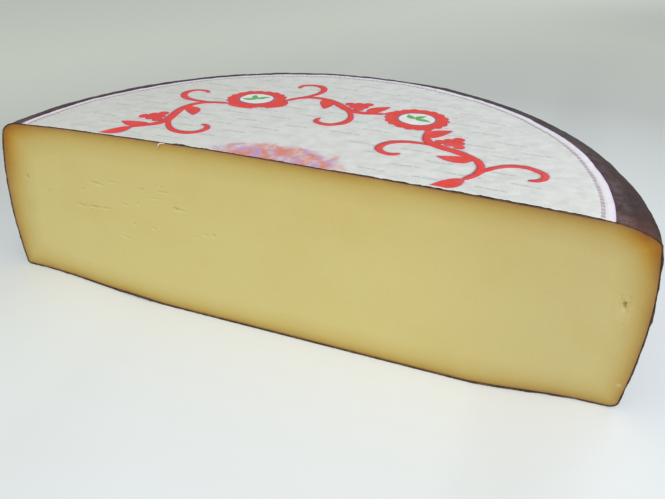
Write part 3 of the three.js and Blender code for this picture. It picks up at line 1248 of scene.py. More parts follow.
    def cut_rim(self) -> Object:
        """Builds the ragged rim with Geometry Nodes: an uneven bead along the cut's outline."""
        tree = ShapeTree("cut_rim")
        radius = tree.size("Radius", self.rim_radius * MM)
        step = tree.size("Step", self.rim_step * MM)
        sides = tree.size("Sides", self.rim_sides, "Int")
        ragged = tree.size("Raggedness", self.rim_ragged * MM)
        inputs = {"Curve": tree.source_curve(), "Length": step}
        even = tree.geo("ResampleCurve", inputs, mode="LENGTH")
        profile = tree.geo("CurvePrimitiveCircle", {"Resolution": sides, "Radius": radius})
        place = tree.position()
        lumps = tree.ramp(tree.noise(place, 5.5, detail=3, roughness=0.65), 0.5, 0.72, (0.0, 0.55))
        swell = tree.noise(place, 2.4, detail=3, roughness=0.6)
        scale = tree.times(tree.plus(swell, self.rim_least, lumps), tree.named("rim_share"))
        inputs = {"Curve": even, "Profile Curve": profile, "Scale": scale, "Fill Caps": True}
        bead = tree.geo("CurveToMesh", inputs)
        shove = tree.noise(tree.position(), 1.3, detail=2)
        outwards = tree.geo("InputNormal")
        amount = tree.times(tree.calc("SUBTRACT", shove, 0.45), ragged)
        offset = tree.vector("MULTIPLY", outwards, tree.join(amount, amount, amount))
        torn = tree.move(bead, offset=offset)
        x, y, z = tree.split(tree.position())
        grounded = tree.move(torn, place=tree.join(x, y, tree.calc("MAXIMUM", z, 0.0)))
        finish = self.cut_finish.material()
        return smooth(tree.grow("rind_cut_rim", grounded, finish, self.rim_path()))


# Paper label


@dataclass(frozen=True)
class PaperFinish:
    """Thin white label paper with a lilac band at its edge and a soft wine wash in its middle."""

    name: str = "label_paper"
    white: Shade = Shade(229, 231, 226)
    shadow: Shade = Shade(218, 220, 215)
    # painted shade: the paper is made a little darker towards the left
    left_painted_shade: Shade = Shade(247, 246, 241)
    margin: Shade = Shade(238, 234, 240)
    lilac: Shade = Shade(230, 216, 243)
    pink: Shade = Shade(208, 152, 178)
    violet: Shade = Shade(184, 150, 196)
    salmon: Shade = Shade(224, 126, 102)
    left_shade_span: Span = (-120.0, 40.0)  # where across the painted shade on the left end is full and gone
    margin_span: Span = (130.7, 131.7)  # the radii where the margin starts and is full
    lilac_span: Span = (132.9, 133.5)
    wash_middle: float = 1.5
    wash_across: float = 32.0
    wash_back: float = 17.0

    def material(self) -> Material:
        """Returns the finish. Its rings are centred on the label's middle."""
        script = MaterialScript(self.name)
        place = script.object_place
        across, back, _ = script.split(script.from_axis(place, LABEL_SHIFT))
        flat = script.join(across, script.calc("DIVIDE", back, LABEL_STRETCH), 0.0)
        radius = script.measure("LENGTH", flat)
        pulp = script.noise(place, 6, detail=5, roughness=0.6)
        sheet = script.mix(script.ramp(pulp, 0.35, 0.7), self.white, self.shadow)
        # Painted shade: darker towards the left end.
        left = script.ramp_mm(across, self.left_shade_span, (1.0, 0.0))
        sheet = script.mix(left, sheet, self.left_painted_shade, "MULTIPLY")
        banded = script.mix(script.ramp_mm(radius, self.margin_span), sheet, self.margin)
        banded = script.mix(script.ramp_mm(radius, self.lilac_span), banded, self.lilac)
        off_middle = script.calc("SUBTRACT", across, self.wash_middle * MM)
        u = script.calc("DIVIDE", off_middle, self.wash_across * MM)
        v = script.calc("DIVIDE", back, self.wash_back * MM)
        oval = script.measure("LENGTH", script.join(u, v, 0.0))
        wander = script.noise(flat, 8, detail=3, distortion=0.6)
        away = script.calc("MULTIPLY_ADD", wander, 0.8, script.calc("SUBTRACT", oval, 0.4))
        near = script.ramp(away, 0.7, 1.05, (1.0, 0.0))
        dabs = script.ramp(script.noise(flat, 7, detail=2, distortion=0.7), 0.28, 0.55, (0.38, 0.92))
        tone = script.noise(flat, 11, detail=1, distortion=0.5)
        hue = script.colours(
            script.calc("MULTIPLY_ADD", tone, 2.2, -0.6, clamp=True),
            (
                (0.0, self.violet),
                (0.28, self.pink),
                (0.46, self.salmon),
                (0.58, self.salmon),
                (0.72, self.pink),
                (1.0, self.violet),
            ),
        )
        washed = script.mix(script.times(near, dabs), banded, hue)
        fibre = script.noise(place, 0.7, detail=4, roughness=0.7)
        crease = script.noise(script.vector("MULTIPLY", place, (0.5, 1.3, 1.0)), 2.4, detail=3)
        relief = script.bump(fibre, 0.04, 0.25, script.bump(crease, 0.08, 0.22))
        return script.finish(
            Base_Color=washed, Roughness=0.5, Normal=relief, Specular_IOR_Level=0.4
        )


@dataclass(frozen=True)
class TornTab:
    """The shred of paper over the cut edge, soaked by the cheese towards its tip.

    Its course runs from where it leaves the paper's edge to its tip: how far across it is, how far
    above the paper, half its width and how far out of the cut face.
    """

    course: tuple[tuple[float, float, float, float], ...] = (
        (-50.9, 0.05, 0.14, -0.1),
        (-52.4, -0.05, 0.2, 0.3),
        (-53.8, -0.25, 0.34, 0.5),
        (-54.6, -0.9, 0.4, 0.6),
        (-55.0, -1.8, 0.34, 0.6),
        (-55.3, -2.6, 0.22, 0.5),
        (-55.6, -3.1, 0.08, 0.4),
    )
    steps: int = 26
    width_steps: int = 7
    cup: float = 0.12
    root: Shade = Shade(216, 196, 182)
    tip: Shade = Shade(190, 166, 112)
    soaked_span: Span = (88.2, 91.2)  # the heights of the soaked tip and of the dry root

    def material(self) -> Material:
        """Returns the finish, more soaked further down."""
        script = MaterialScript("torn_label_paper")
        up = script.split(script.object_place)[2]
        dry = script.ramp_mm(up, self.soaked_span)
        fibre = script.bump(script.noise(script.object_place, 0.7, detail=4), 0.04, 0.25)
        colour = script.mix(dry, self.tip, self.root)
        return script.finish(Base_Color=colour, Roughness=0.5, Normal=fibre, Specular_IOR_Level=0.4)


@dataclass
class Label:
    """The half-disc paper label, stuck to the top and cut through with the wheel."""

    wheel: Wheel
    finish: PaperFinish = PaperFinish()
    tab: TornTab = TornTab()
    radius: float = 133.8
    thickness: float = 0.25
    gap: float = 0.08
    across_steps: int = 270
    back_steps: int = 104
    cockle: float = 0.3
    wrinkle: float = 0.42
    wrinkle_across: Span = (-5.0, 60.0)  # where across the folds start and are full
    wrinkle_back: Span = (8.0, 58.0)  # how far behind the cut they start to fade and are least
    wrinkle_least: float = 0.12
    stuck_span: Span = (6.0, 1.0)  # how far inside its edge the sheet lies closer and is flat
    fray_reach: float = 1.2  # how far behind the cut its edge is frayed
    ray_back: float = 0.4  # how far behind the cut the rind's height is read at least

    def sheet(self, rind: Object) -> Object:
        """Builds the sheet with Geometry Nodes: a square grid bent into a half disc on the rind."""
        tree = ShapeTree("label_sheet")
        surface = tree.size("Surface", rind, "Object")
        radius = tree.size("Radius", self.radius * MM)
        across_steps = tree.size("Points Across", self.across_steps, "Int")
        back_steps = tree.size("Points Back", self.back_steps, "Int")
        thickness = tree.size("Thickness", self.thickness * MM)
        gap = tree.size("Gap", self.gap * MM)
        cockle = tree.size("Cockle", self.cockle * MM)
        wrinkle = tree.size("Wrinkle", self.wrinkle * MM)
        grid = tree.grid(2.0, 1.0, across_steps, back_steps)
        u, v, _ = tree.split(tree.position())
        v = tree.plus(v, 0.5)
        across = tree.times(u, self.squeeze(tree, v), radius)
        back = tree.times(v, self.squeeze(tree, u), tree.times(radius, LABEL_STRETCH))
        fray = tree.noise(tree.join(across, 0.0, 0.0), 1.7, detail=2)
        by_cut = tree.ramp_mm(back, (0.0, self.fray_reach), (1.0, 0.0))
        torn = tree.times(by_cut, tree.calc("MULTIPLY_ADD", fray, -0.7 * MM, 0.3 * MM))
        place_x = tree.plus(across, WHERE.axis_x + LABEL_SHIFT * MM)
        place_y = tree.plus(back, torn, WHERE.cut_y)
        flat = tree.move(grid, place=tree.join(place_x, place_y, 0.0))
        here = tree.position()
        x, y, _ = tree.split(here)
        on_rind = tree.calc("MAXIMUM", y, WHERE.cut_y + self.ray_back * MM)
        ground = tree.surface_height(surface, tree.join(x, on_rind, 0.0))
        height = tree.plus(ground, self.looseness(tree, here, cockle, wrinkle), gap)
        draped = tree.move(flat, place=tree.join(x, y, height))
        body = tree.thicken(draped, thickness)
        return smooth(tree.grow("label_sheet", body, self.finish.material()))

    def looseness(
        self, tree: ShapeTree, here: NodeSocket, cockle: NodeSocket, wrinkle: NodeSocket
    ) -> NodeSocket:
        """Finds how far the sheet stands off the rind.

        Args:
            tree: the sheet's tree.
            here: the place of each point.
            cockle: the height of the broad waves.
            wrinkle: the height of the sharper folds, which are most at the right by the cut.

        Returns:
            The height, which falls to nothing by the sheet's edge.
        """
        across, back, _ = tree.split(tree.from_axis(here))
        broad = tree.noise(here, 26, detail=1)
        stretched = tree.vector("MULTIPLY", here, (0.75, 1.5, 1.0))
        folds = tree.noise(stretched, 5.2, detail=3, roughness=0.6, distortion=0.5)
        off_ridge = tree.calc("ABSOLUTE", tree.calc("SUBTRACT", folds, 0.5))
        ridge = tree.calc("SUBTRACT", 1.0, tree.times(off_ridge, 5.0), clamp=True)
        right = tree.ramp_mm(across, self.wrinkle_across, (self.wrinkle_least, 1.0))
        near = tree.ramp_mm(back, self.wrinkle_back, (1.0, self.wrinkle_least))
        creased = tree.times(ridge, right, near)
        radius = tree.measure("LENGTH", tree.from_axis(here))
        stuck_from, stuck_to = self.stuck_span
        edge = (self.radius - stuck_from, self.radius - stuck_to)
        loose = tree.plus(tree.times(broad, cockle), tree.times(creased, wrinkle))
        return tree.times(loose, tree.ramp_mm(radius, edge, (1.0, 0.0)))

    @staticmethod
    def squeeze(tree: ShapeTree, side: object) -> NodeSocket:
        """Returns the share by which a square's other side shrinks when it becomes a disc."""
        return tree.calc("SQRT", tree.calc("MULTIPLY_ADD", tree.times(side, side), -0.5, 1.0))

    def torn_tab(self) -> Object:
        """Builds the shred of paper that is torn along the cut edge and hangs over it."""
        tab = self.tab
        course = np.array(tab.course)
        share = np.linspace(0, 1, tab.steps)
        known = np.linspace(0, 1, len(course))
        across, up, half, out = (np.interp(share, known, course[:, i]) for i in range(4))
        along = np.stack([np.gradient(across), np.gradient(up)], axis=-1)
        along /= np.linalg.norm(along, axis=1)[:, None]
        width = np.linspace(-1, 1, tab.width_steps)
        top = float(self.wheel.top_height(tab.course[0][0])) + self.gap + self.thickness
        front = np.zeros((tab.steps, tab.width_steps, 3))
        front[..., 0] = across[:, None] - along[:, 1:] * half[:, None] * width
        front[..., 1] = -out[:, None] - tab.cup * (1 - width**2)
        front[..., 2] = top + up[:, None] + along[:, :1] * half[:, None] * width
        draft = Draft()
        faces = draft.add_points(front)
        backs = draft.add_points(front + np.array([0, self.thickness * 0.7, 0.03]))
        draft.add_grid(faces)
        draft.add_grid(backs)
        for side in ((0,), (-1,), (slice(None), 0), (slice(None), -1)):
            draft.add_grid(np.stack([faces[side], backs[side]]))
        return smooth(new_piece("label_torn_tab", draft.mesh("label_torn_tab"), tab.material()))


# Print


class Ink(Enum):
    """The label's printing inks."""

    RED = PatchyFinish("ink_red", Shade(236, 67, 56), Shade(240, 84, 70))
    MAUVE = PatchyFinish("ink_mauve", Shade(168, 99, 128), Shade(183, 116, 139))
    BLUSH = PatchyFinish("ink_blush", Shade(236, 210, 214), Shade(232, 214, 216))
    GREEN = PatchyFinish("ink_green", Shade(98, 179, 103), Shade(118, 190, 120))
    WHITE = PatchyFinish("ink_white", Shade(240, 240, 234), Shade(233, 234, 229))
    DUSK = PatchyFinish("ink_dusk", Shade(188, 170, 180), Shade(208, 196, 204))
    GREY = PatchyFinish("ink_grey", Shade(197, 200, 196), Shade(207, 210, 205))


@dataclass(frozen=True)
class Layer:
    """One pass of ink: how far the shapes spread past their own size, and how high it lies."""

    name: str
    ink: Ink
    spread: float
    lift: float


PRINT_LAYERS = (
    Layer("halo", Ink.BLUSH, 1.0, 0.05),
    Layer("outline", Ink.MAUVE, 0.4, 0.1),
    Layer("fill", Ink.RED, 0.0, 0.15),
)


@dataclass
class Stroke:
    """A brush stroke: its points from the axis, across and back, and its half width at each."""

    points: Array
    half_widths: Array

    @classmethod
    def tendril(
        cls, start: Array, heading: float, length: float, bend: Span, half_width: float
    ) -> Stroke:
        """Draws a stroke that bends more and more.

        Args:
            start: where it starts.
            heading: its first direction, in radians.
            length: its length.
            bend: its turn for each millimetre, at the start and at the end.
            half_width: half its width where it is widest.

        Returns:
            The stroke.
        """
        share = np.linspace(0, 1, 40)
        turning = bend[0] + (bend[1] - bend[0]) * share**1.5
        step = length / (len(share) - 1)
        direction = heading + np.concatenate([[0], np.cumsum(turning[1:] * step)])
        steps = np.stack([np.cos(direction), np.sin(direction)], axis=-1) * step
        points = start + np.concatenate([[[0, 0]], np.cumsum(steps[1:], axis=0)])
        return cls(points, half_width * cls.pressure(share))

    @staticmethod
    def pressure(share: Array) -> Array:
        """Returns a brush's width along a stroke: round ends, and heavier towards the far one."""
        ends = np.sqrt(np.clip(1 - np.abs(2 * share - 1) ** 14, 0, 1))
        return ends * (0.62 + 0.38 * np.sin(math.pi * share**1.4) ** 2)

    def direction_at(self, share: float) -> tuple[Array, float]:
        """Returns the point at a share of the stroke and its direction there."""
        number = min(int(share * (len(self.points) - 1)), len(self.points) - 2)
        ahead = self.points[number + 1] - self.points[number]
        return self.points[number], math.atan2(ahead[1], ahead[0])


@dataclass(frozen=True)
class Mark:
    """A printed shape on the label: where it is, which way it points and how long it is."""

    across: float
    back: float
    turn: float
    length: float


@dataclass
class Garland:
    """A ring of brushed vine sprays with leaves and berries, round the wheel's middle."""

    ring_radius: float = 79.0
    sprays: tuple[float, ...] = (28.0, 90.0, 152.0)
    span_degrees: float = 41.0
    sway: float = 7.5
    stem_half_width: float = 2.1
    curl_half_width: float = 1.5
    curl_shares: Span = (0.12, 0.62)  # where along the stem the two curls start
    curl_length: float = 46.0
    curl_lean: float = 0.2
    curl_bends: Span = (0.012, 0.21)
    leaf_length: float = 15.0
    leaf_places: tuple[Span, ...] = ((0.02, 2.9), (0.34, 0.9), (0.86, -0.8), (0.98, 0.1))
    berry_radius: float = 2.3
    berry_rows: int = 3
    bunch_share: float = 0.6
    bunch_lean: float = 1.5
    bunch_gap: float = 5.5
    strokes: list[Stroke] = field(default_factory=list)
    leaves: list[Mark] = field(default_factory=list)
    berries: list[Mark] = field(default_factory=list)

    def __post_init__(self) -> None:
        """Works out the strokes, leaves and berries of every spray."""
        for number, middle in enumerate(self.sprays):
            side = 1 if number % 2 == 0 else -1
            stem = self.stem(math.radians(middle), side)
            self.strokes.append(stem)
            for share, way in zip(self.curl_shares, (-side, side)):
                start, heading = stem.direction_at(share)
                bends = tuple(bend * way for bend in self.curl_bends)
                turned = heading + self.curl_lean * way
                length, half_width = self.curl_length, self.curl_half_width
                self.strokes.append(Stroke.tendril(start, turned, length, bends, half_width))
            for share, lean in self.leaf_places:
                start, heading = stem.direction_at(share)
                self.leaves.append(Mark(*start, heading + lean * side, self.leaf_length))
            self.hang_berries(stem, side)

    def stem(self, middle: float, side: int) -> Stroke:
        """Returns a spray's wavy main stroke."""
        share = np.linspace(0, 1, 60)
        angle = middle + side * (share - 0.5) * math.radians(self.span_degrees)
        radius = self.ring_radius + self.sway * np.sin(2 * math.pi * share)
        points = np.stack([radius * np.cos(angle), radius * np.sin(angle)], axis=-1)
        return Stroke(points, self.stem_half_width * Stroke.pressure(share))

    def hang_berries(self, stem: Stroke, side: int) -> None:
        """Adds a bunch of berries that narrows row by row away from the stem."""
        start, heading = stem.direction_at(self.bunch_share)
        outwards = heading - self.bunch_lean * side
        along = np.array([math.cos(outwards), math.sin(outwards)])
        across = np.array([-along[1], along[0]])
        pitch = self.berry_radius * 2.05
        for row in range(self.berry_rows):
            count = self.berry_rows - row
            for place in range(count):
                spot = start + along * (self.bunch_gap + row * pitch * 0.87)
                spot = spot + across * (place - (count - 1) / 2) * pitch
                self.berries.append(Mark(*spot, 0.0, self.berry_radius * 2))


@dataclass(frozen=True)
class DashRows:
    """Faint rows of dashes parallel to the cut, each half a step off the last."""

    reach: float = 126.0  # the radius that they stay inside
    clear: float = 34.0  # the radius round the axis that stays free of them
    pitch: float = 8.5
    spacing: float = 24.0
    first_row: float = 0.7  # how far behind the cut the first row is, in pitches
    row_end: float = 0.3  # how far inside the reach a row ends, in spacings
    row_shift: float = 0.25  # how far left the rows lie, in spacings
    length: float = 11.5
    longer: float = 3.5  # how much longer some are

    def marks(self) -> list[Mark]:
        """Returns where the dashes are."""
        marks = []
        rows = np.arange(self.pitch * self.first_row, self.reach - self.pitch, self.pitch)
        for row, back in enumerate(rows):
            half = math.sqrt(self.reach**2 - back**2) - self.spacing * self.row_end
            count = int(half / self.spacing)
            for place in range(-count, count + 1):
                across = (place + 0.5 * (row % 2) - self.row_shift) * self.spacing
                if abs(across) < half and math.hypot(across, back) > self.clear:
                    length = self.length + self.longer * math.sin(2.3 * row + 1.7 * place) ** 2
                    marks.append(Mark(across, back, 0.0, length))
        return marks


@dataclass(frozen=True)
class Border:
    """The ring of short bars near the label's edge."""

    radius: float = 129.5
    pitch: float = 2.8
    length: float = 2.2

    def marks(self) -> list[Mark]:
        """Returns where the bars are."""
        count = int(math.pi * self.radius / self.pitch)
        marks = []
        for turn in (math.pi * (place + 0.5) / count for place in range(count)):
            across = LABEL_SHIFT + self.radius * math.cos(turn)
            back = LABEL_STRETCH * self.radius * math.sin(turn)
            marks.append(Mark(across, back, turn + math.pi / 2, self.length))
        return marks


@dataclass(frozen=True)
class Medallions:
    """Scalloped red medallions with a white middle and three green leaves."""

    radius: float = 84.0  # how far they are from the axis
    angles: Span = (59.0, 121.0)
    across: float = 31.0
    lobes: int = 18
    notch: float = 0.035
    ring_share: float = 0.64
    middle_share: float = 0.56
    leaf_share: float = 0.25
    leaf_start: float = 1.5  # how much nearer to the axis than the middle the leaves start
    leaf_leans: Triple = (-1.15, 0.0, 1.15)

    def spots(self) -> list[Triple]:
        """Returns where each one's middle is, across and back, and its turn."""
        turns = [math.radians(angle) for angle in self.angles]
        return [(self.radius * math.cos(t), self.radius * math.sin(t), t) for t in turns]

    def discs(self, share: float = 1.0) -> list[Mark]:
        """Returns the marks of discs of a share of the medallions' width."""
        return [Mark(x, y, turn, self.across * share) for x, y, turn in self.spots()]

    def leaves(self) -> list[Mark]:
        """Returns the marks of the leaves."""
        marks = []
        for x, y, turn in self.spots():
            start = (x - self.leaf_start * math.cos(turn), y - self.leaf_start * math.sin(turn))
            for lean in self.leaf_leans:
                marks.append(Mark(*start, turn + lean, self.across * self.leaf_share))
        return marks


@dataclass
class PrintShop:
    """Prints shapes on the label: each is a very thin closed body laid on the paper."""

    paper: Object
    film: float = 0.04
    edge_gap: float = 0.5
    made: list[Object] = field(default_factory=list)

    def brush(self, name: str, strokes: list[Stroke], layer: Layer) -> None:
        """Prints strokes as ribbons along their paths, as wide as the brush was pressed."""
        tree = ShapeTree(name)
        spread = tree.size("Spread", layer.spread * MM)
        inputs = {"Curve": tree.source_curve()}
        upright = tree.geo("SetCurveNormal", inputs, mode="Z_UP")
        profile = tree.geo("CurvePrimitiveLine", {"Start": (-1, 0, 0), "End": (1, 0, 0)})
        fine = tree.geo("ResampleCurve", {"Curve": profile, "Count": 5})
        width = tree.plus(tree.named("half_width"), spread)
        inputs = {"Curve": upright, "Profile Curve": fine, "Scale": width}
        ribbon = tree.geo("CurveToMesh", inputs)
        self.press(name, tree, ribbon, layer, self.stroke_paths(strokes))

    def press(self, name: str, tree: ShapeTree, sheet: object, layer: Layer, start: Mesh) -> None:
        """Ends a printed piece's tree, and keeps the piece.

        Args:
            name: the piece's name.
            tree: its tree.
            sheet: the flat shapes that become a film of ink on the paper.
            layer: the ink and its height.
            start: the mesh that the tree works on.
        """
        surface = tree.size("Surface", self.paper, "Object")
        film = tree.size("Film", self.film * MM)
        lift = tree.size("Lift", layer.lift * MM)
        up = tree.split(tree.geo("InputNormal"))[2]
        down = tree.add("FunctionNodeCompare", {0: up, 1: 0.0}, operation="LESS_THAN").outputs[0]
        level = tree.geo("FlipFaces", {"Mesh": sheet, "Selection": down})
        body = tree.lay(tree.thicken(level, film), surface, lift)
        piece = tree.grow(name, body, layer.ink.value.material(), start)
        self.trim(piece)
        self.made.append(piece)

    @staticmethod
    def stroke_paths(strokes: list[Stroke]) -> Mesh:
        """Returns the strokes as a mesh of edges with their half widths in metres."""
        points = np.concatenate([stroke.points for stroke in strokes])
        ends = set(np.cumsum([len(stroke.points) for stroke in strokes]).tolist())
        edges = [(end - 1, end) for end in range(1, len(points)) if end not in ends]
        mesh = bpy.data.meshes.new("stroke_paths")
        mesh.from_pydata(WHERE.flat(points), edges, [])
        widths = np.concatenate([stroke.half_widths for stroke in strokes])
        put_numbers(mesh, "half_width", widths * MM)
        return mesh

    @staticmethod
    def mark_points(marks: list[Mark]) -> Mesh:
        """Returns the marks as a mesh of points with their turn and length."""
        mesh = bpy.data.meshes.new("mark_points")
        mesh.from_pydata(WHERE.flat(np.array([(m.across, m.back) for m in marks])), [], [])
        put_numbers(mesh, "turn", np.array([m.turn for m in marks]))
        put_numbers(mesh, "length", np.array([m.length for m in marks]) * MM)
        return mesh

    def stamp(self, name: str, marks: list[Mark], layer: Layer, shape: object) -> None:
        """Prints one shape at every mark.

        Args:
            name: the piece's name.
            marks: the marks.
            layer: the ink, its spread and its height.
            shape: a function that adds the flat shape to a tree and returns it, 1 long, pointing
                along X from the mark. It takes the tree and the spread as a share of the length.
        """
        tree = ShapeTree(name)
        length = tree.named("length")
        inputs = {
            "Points": tree.source.outputs[0],
            "Instance": shape(tree, layer.spread / marks[0].length),
            "Rotation": tree.join(0.0, 0.0, tree.named("turn")),
            "Scale": tree.join(length, length, length),
        }
        stamped = tree.geo("InstanceOnPoints", inputs)
        real = tree.geo("RealizeInstances", {"Geometry": stamped})
        self.press(name, tree, real, layer, self.mark_points(marks))

    @staticmethod
    def leaf(tree: ShapeTree, spread: float) -> NodeSocket:
        """Adds a pointed, slightly bent leaf."""
        stalk, half_width, tip_width, bend = 0.06, 0.22, 0.002, 0.09
        grid = tree.grid(1.0, 1.0, 17, 7)
        u, v, _ = tree.split(tree.position())
        share = tree.plus(u, 0.5)
        belly = tree.calc("SINE", tree.times(tree.calc("POWER", share, 0.8), math.pi))
        belly = tree.calc("POWER", tree.calc("MAXIMUM", belly, 0.0), 0.9)
        half = tree.calc("MULTIPLY_ADD", belly, half_width, spread + tip_width)
        bent = tree.times(tree.calc("SINE", tree.times(share, math.pi)), bend)
        x = tree.calc("MULTIPLY_ADD", share, 1 + 2 * spread, stalk - spread)
        y = tree.calc("MULTIPLY_ADD", tree.times(v, 2.0), half, bent)
        return tree.move(grid, place=tree.join(x, y, 0.0))

    @staticmethod
    def disc(tree: ShapeTree, spread: float, lobes: int = 0, notch: float = 0.0) -> object:
        """Adds a disc 1 across, its edge scalloped where it has lobes."""
        steps = 49 if lobes else 13
        grid = tree.grid(2.0, 2.0, steps, steps)
        u, v, _ = tree.split(tree.position())
        x = tree.times(u, Label.squeeze(tree, v))
        y = tree.times(v, Label.squeeze(tree, u))
        radius = 0.5 + spread
        if lobes:
            wave = tree.calc("SINE", tree.times(tree.calc("ARCTAN2", y, x), lobes / 2))
            radius = tree.calc("MULTIPLY_ADD", tree.calc("ABSOLUTE", wave), notch, radius - notch)
        return tree.move(grid, place=tree.join(tree.times(x, radius), tree.times(y, radius), 0.0))

    @staticmethod
    def dashes(tree: ShapeTree, spread: float) -> NodeSocket:
        """Adds a row of three thin dashes, the middle one the longest, 1 long in all."""
        row = tree.add("GeometryNodeJoinGeometry")
        for middle, length in ((-0.36, 0.26), (0.02, 0.42), (0.39, 0.2)):
            inputs = {"Geometry": tree.grid(length, 0.06, 5, 2), "Translation": (middle, 0, 0)}
            tree.tree.links.new(tree.geo("Transform", inputs), row.inputs[0])
        return row.outputs[0]

    @staticmethod
    def bar(tree: ShapeTree, spread: float) -> NodeSocket:
        """Adds a bar 1 long with its middle on the mark."""
        return tree.grid(1.0, 0.68, 3, 3)

    def faint_marks(self, rows: DashRows, border: Border) -> None:
        """Prints the rows of dashes and the ring of bars."""
        self.stamp("print_dashes", rows.marks(), Layer("dashes", Ink.GREY, 0.0, 0.03), self.dashes)
        self.stamp("print_border", border.marks(), Layer("border", Ink.DUSK, 0.0, 0.04), self.bar)

    def medallions(self, shapes: Medallions) -> None:
        """Prints the medallions, with what is in their middles over them."""
        petals = partial(self.disc, lobes=shapes.lobes, notch=shapes.notch)
        for layer in PRINT_LAYERS:
            self.stamp(f"print_medallion_{layer.name}", shapes.discs(), layer, petals)
        for name, marks, ink, lift, shape in (
            ("ring", shapes.discs(shapes.ring_share), Ink.MAUVE, 0.2, self.disc),
            ("middle", shapes.discs(shapes.middle_share), Ink.WHITE, 0.25, self.disc),
            ("leaves", shapes.leaves(), Ink.GREEN, 0.3, self.leaf),
        ):
            self.stamp(f"print_medallion_{name}", marks, Layer(name, ink, 0.0, lift), shape)

    def garland(self, garland: Garland) -> None:
        """Prints the vine sprays, each pass of ink over the last."""
        for layer in PRINT_LAYERS:
            self.brush(f"print_vine_{layer.name}", garland.strokes, layer)
            self.stamp(f"print_leaves_{layer.name}", garland.leaves, layer, self.leaf)
            self.stamp(f"print_berries_{layer.name}", garland.berries, layer, self.disc)

    def trim(self, piece: Object) -> None:
        """Cuts a printed piece through with the wheel, and closes it there."""
        body = bmesh.new()
        body.from_mesh(piece.data)
        everything = [*body.verts, *body.edges, *body.faces]
        edge = Vector((0, WHERE.cut_y + self.edge_gap * MM, 0))
        bmesh.ops.bisect_plane(
            body, geom=everything, plane_co=edge, plane_no=(0, -1, 0), clear_outer=True
        )
        open_edges = [e for e in body.edges if e.is_boundary]
        bmesh.ops.holes_fill(body, edges=open_edges, sides=0)
        body.to_mesh(piece.data)
        body.free()


# Studio


@dataclass(frozen=True)
class FloorFinish:
    """A plain pale table top with painted light: brightest in front of the cheese, darker all round,
    and lighter towards the back left.
    """

    name: str = "pale_floor"
    middle: Triple = (0.06, -0.08, 0.0)
    reach: float = 1.0
    stops: Stops = (
        (0.0, Shade(241, 246, 250)),
        (0.12, Shade(239, 244, 247)),
        (0.22, Shade(230, 235, 234)),
        (0.42, Shade(201, 205, 200)),
        (0.7, Shade(205, 208, 196)),
        (0.9, Shade(188, 191, 184)),
    )
    painted_light: Shade = Shade(229, 233, 219)
    painted_light_way: Triple = (-0.8, 0.6, 0.0)
    painted_light_span: Span = (0.18, 0.58)

    def material(self) -> Material:
        """Returns the finish."""
        script = MaterialScript(self.name)
        away = script.measure("DISTANCE", script.object_place, self.middle)
        # Painted light: darker further from a point in front of the cheese, like a lamp's pool of
        # light.
        colour = script.colours(script.calc("DIVIDE", away, self.reach), self.stops)
        along = script.measure("DOT_PRODUCT", script.object_place, self.painted_light_way)
        # Painted light: a brighter band towards the back left.
        colour = script.mix(script.ramp(along, *self.painted_light_span), colour, self.painted_light)
        return script.finish(Base_Color=colour, Roughness=0.85, Specular_IOR_Level=0.2)


@dataclass(frozen=True)
class Lamp:
    """A large soft lamp that points at the cheese."""

    name: str
    place: Triple
    width: float
    watts: float
    shade: Shade = Shade(255, 255, 255)


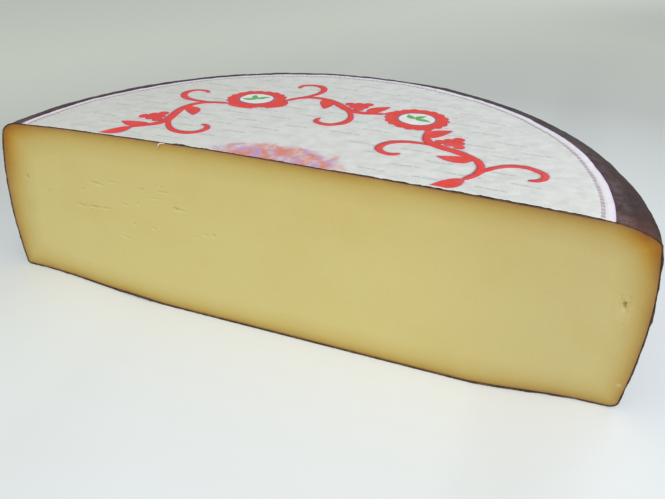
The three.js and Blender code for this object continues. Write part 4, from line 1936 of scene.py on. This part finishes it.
@dataclass
class Studio:
    """The pale floor, the soft lamps and the camera at the photograph's viewing angle."""

    wheel: Wheel
    camera_place: Triple = (0.115453, -0.298853, 0.197234)
    yaw: float = -0.37633
    pitch: float = 0.54163
    roll: float = 0.00084
    focal_share: float = 645.712 / 665  # focal length as a share of the image's width
    sensor_mm: float = 36.0
    floor_reach: float = 4000.0
    floor_gap: float = 0.06
    lift_gap: float = 0.42  # how far the floor stays under the lifted parts of the base
    fade_across: Span = (170.0, 420.0)  # how far out the floor's rise starts to fade and is gone
    fade_back: Span = (250.0, 700.0)
    sky: Shade = Shade(246, 250, 255)
    sky_strength: float = 0.47
    lamps: tuple[Lamp, ...] = (
        Lamp("key", (0.5, -1.4, 1.2), 0.6, 19.5, Shade(255, 253, 250)),
        Lamp("fill", (1.4, -0.5, 0.7), 1.2, 5.0, Shade(244, 249, 255)),
        Lamp("window", (0.6, 1.3, 0.7), 0.8, 3.2, Shade(248, 250, 255)),
    )

    def build(self) -> None:
        """Makes the whole studio."""
        self.make_floor()
        self.make_camera()
        for lamp in self.lamps:
            self.make_lamp(lamp)
        self.make_sky()
        bpy.context.scene.view_settings.view_transform = "Standard"

    def make_floor(self) -> None:
        """Makes the floor, which follows the base where the base rises towards its ends."""
        far = self.floor_reach
        across = graded((-far, 400), (-400, 20), (-150, 3), (0, 8), (150, 3), (400, 20), (far, 400))
        behind = graded((-far, 400), (-600, 30), (-60, 8), (200, 20), (600, 40), (far, 400))
        x, y = np.meshgrid(across, behind)
        fade = 1 - smooth_step(np.abs(x), *self.fade_across)
        fade *= 1 - smooth_step(np.abs(y), *self.fade_back)
        height = np.maximum(self.wheel.cut_lift(x) - self.lift_gap, 0) * fade - self.floor_gap
        points = WHERE.metres(np.stack([x, y, height], axis=-1).reshape(-1, 3))
        numbers = np.arange(x.size).reshape(x.shape)
        mesh = bpy.data.meshes.new("floor")
        mesh.from_pydata(points.tolist(), [], quads(numbers).tolist())
        smooth(new_piece("floor", mesh, FloorFinish().material()))

    def make_camera(self) -> None:
        """Makes the camera from its yaw, pitch and roll."""
        flat = math.cos(self.pitch)
        heading = (math.sin(self.yaw) * flat, math.cos(self.yaw) * flat, -math.sin(self.pitch))
        forward = Vector(heading)
        level = forward.cross(Vector((0, 0, 1))).normalized()
        upright = level.cross(forward)
        right = level * math.cos(self.roll) - upright * math.sin(self.roll)
        up = upright * math.cos(self.roll) + level * math.sin(self.roll)
        lens = bpy.data.cameras.new("camera")
        lens.sensor_fit = "HORIZONTAL"
        lens.sensor_width = self.sensor_mm
        lens.lens = self.focal_share * self.sensor_mm
        lens.clip_start = 0.01
        camera = bpy.data.objects.new("camera", lens)
        turn = Matrix((right, up, -forward)).transposed().to_4x4()
        camera.matrix_world = Matrix.Translation(self.camera_place) @ turn
        bpy.context.scene.collection.objects.link(camera)
        bpy.context.scene.camera = camera

    def make_lamp(self, lamp: Lamp) -> None:
        """Makes one square lamp that faces the middle of the cheese."""
        light = bpy.data.lights.new(lamp.name, "AREA")
        light.size = lamp.width
        light.energy = lamp.watts
        light.color = lamp.shade.rgba()[:3]
        holder = bpy.data.objects.new(lamp.name, light)
        low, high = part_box(CHEESE_NODE)
        aim = (low + high) / 2 - Vector(lamp.place)
        holder.rotation_euler = aim.to_track_quat("-Z", "Y").to_euler()
        holder.location = lamp.place
        bpy.context.scene.collection.objects.link(holder)

    def make_sky(self) -> None:
        """Makes the even light all round."""
        world = bpy.data.worlds.new("sky")
        world.use_nodes = True
        ground = world.node_tree.nodes["Background"]
        ground.inputs["Color"].default_value = self.sky.rgba()
        ground.inputs["Strength"].default_value = self.sky_strength
        bpy.context.scene.world = world


def main() -> None:
    """Builds the cheese, its rind, its label and the studio, and reports each piece."""
    logging.basicConfig(level=logging.INFO, format="%(message)s")
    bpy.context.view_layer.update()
    wheel = Wheel()
    Studio(wheel).build()
    keep(Paste(wheel).build(), Slot.PASTE, CHEESE_NODE)
    rind = Rind(wheel)
    shell = rind.shell()
    keep(shell, Slot.RIND, CHEESE_NODE)
    keep(rind.cut_rim(), Slot.RIND, CHEESE_NODE)
    label = Label(wheel)
    sheet = label.sheet(shell)
    keep(sheet, Slot.PAPER, LABEL_NODE)
    keep(label.torn_tab(), Slot.PAPER, LABEL_NODE)
    shop = PrintShop(sheet)
    shop.faint_marks(DashRows(), Border())
    shop.garland(Garland())
    shop.medallions(Medallions())
    for piece in shop.made:
        keep(piece, Slot.PRINT)


if __name__ == "__main__":
    main()
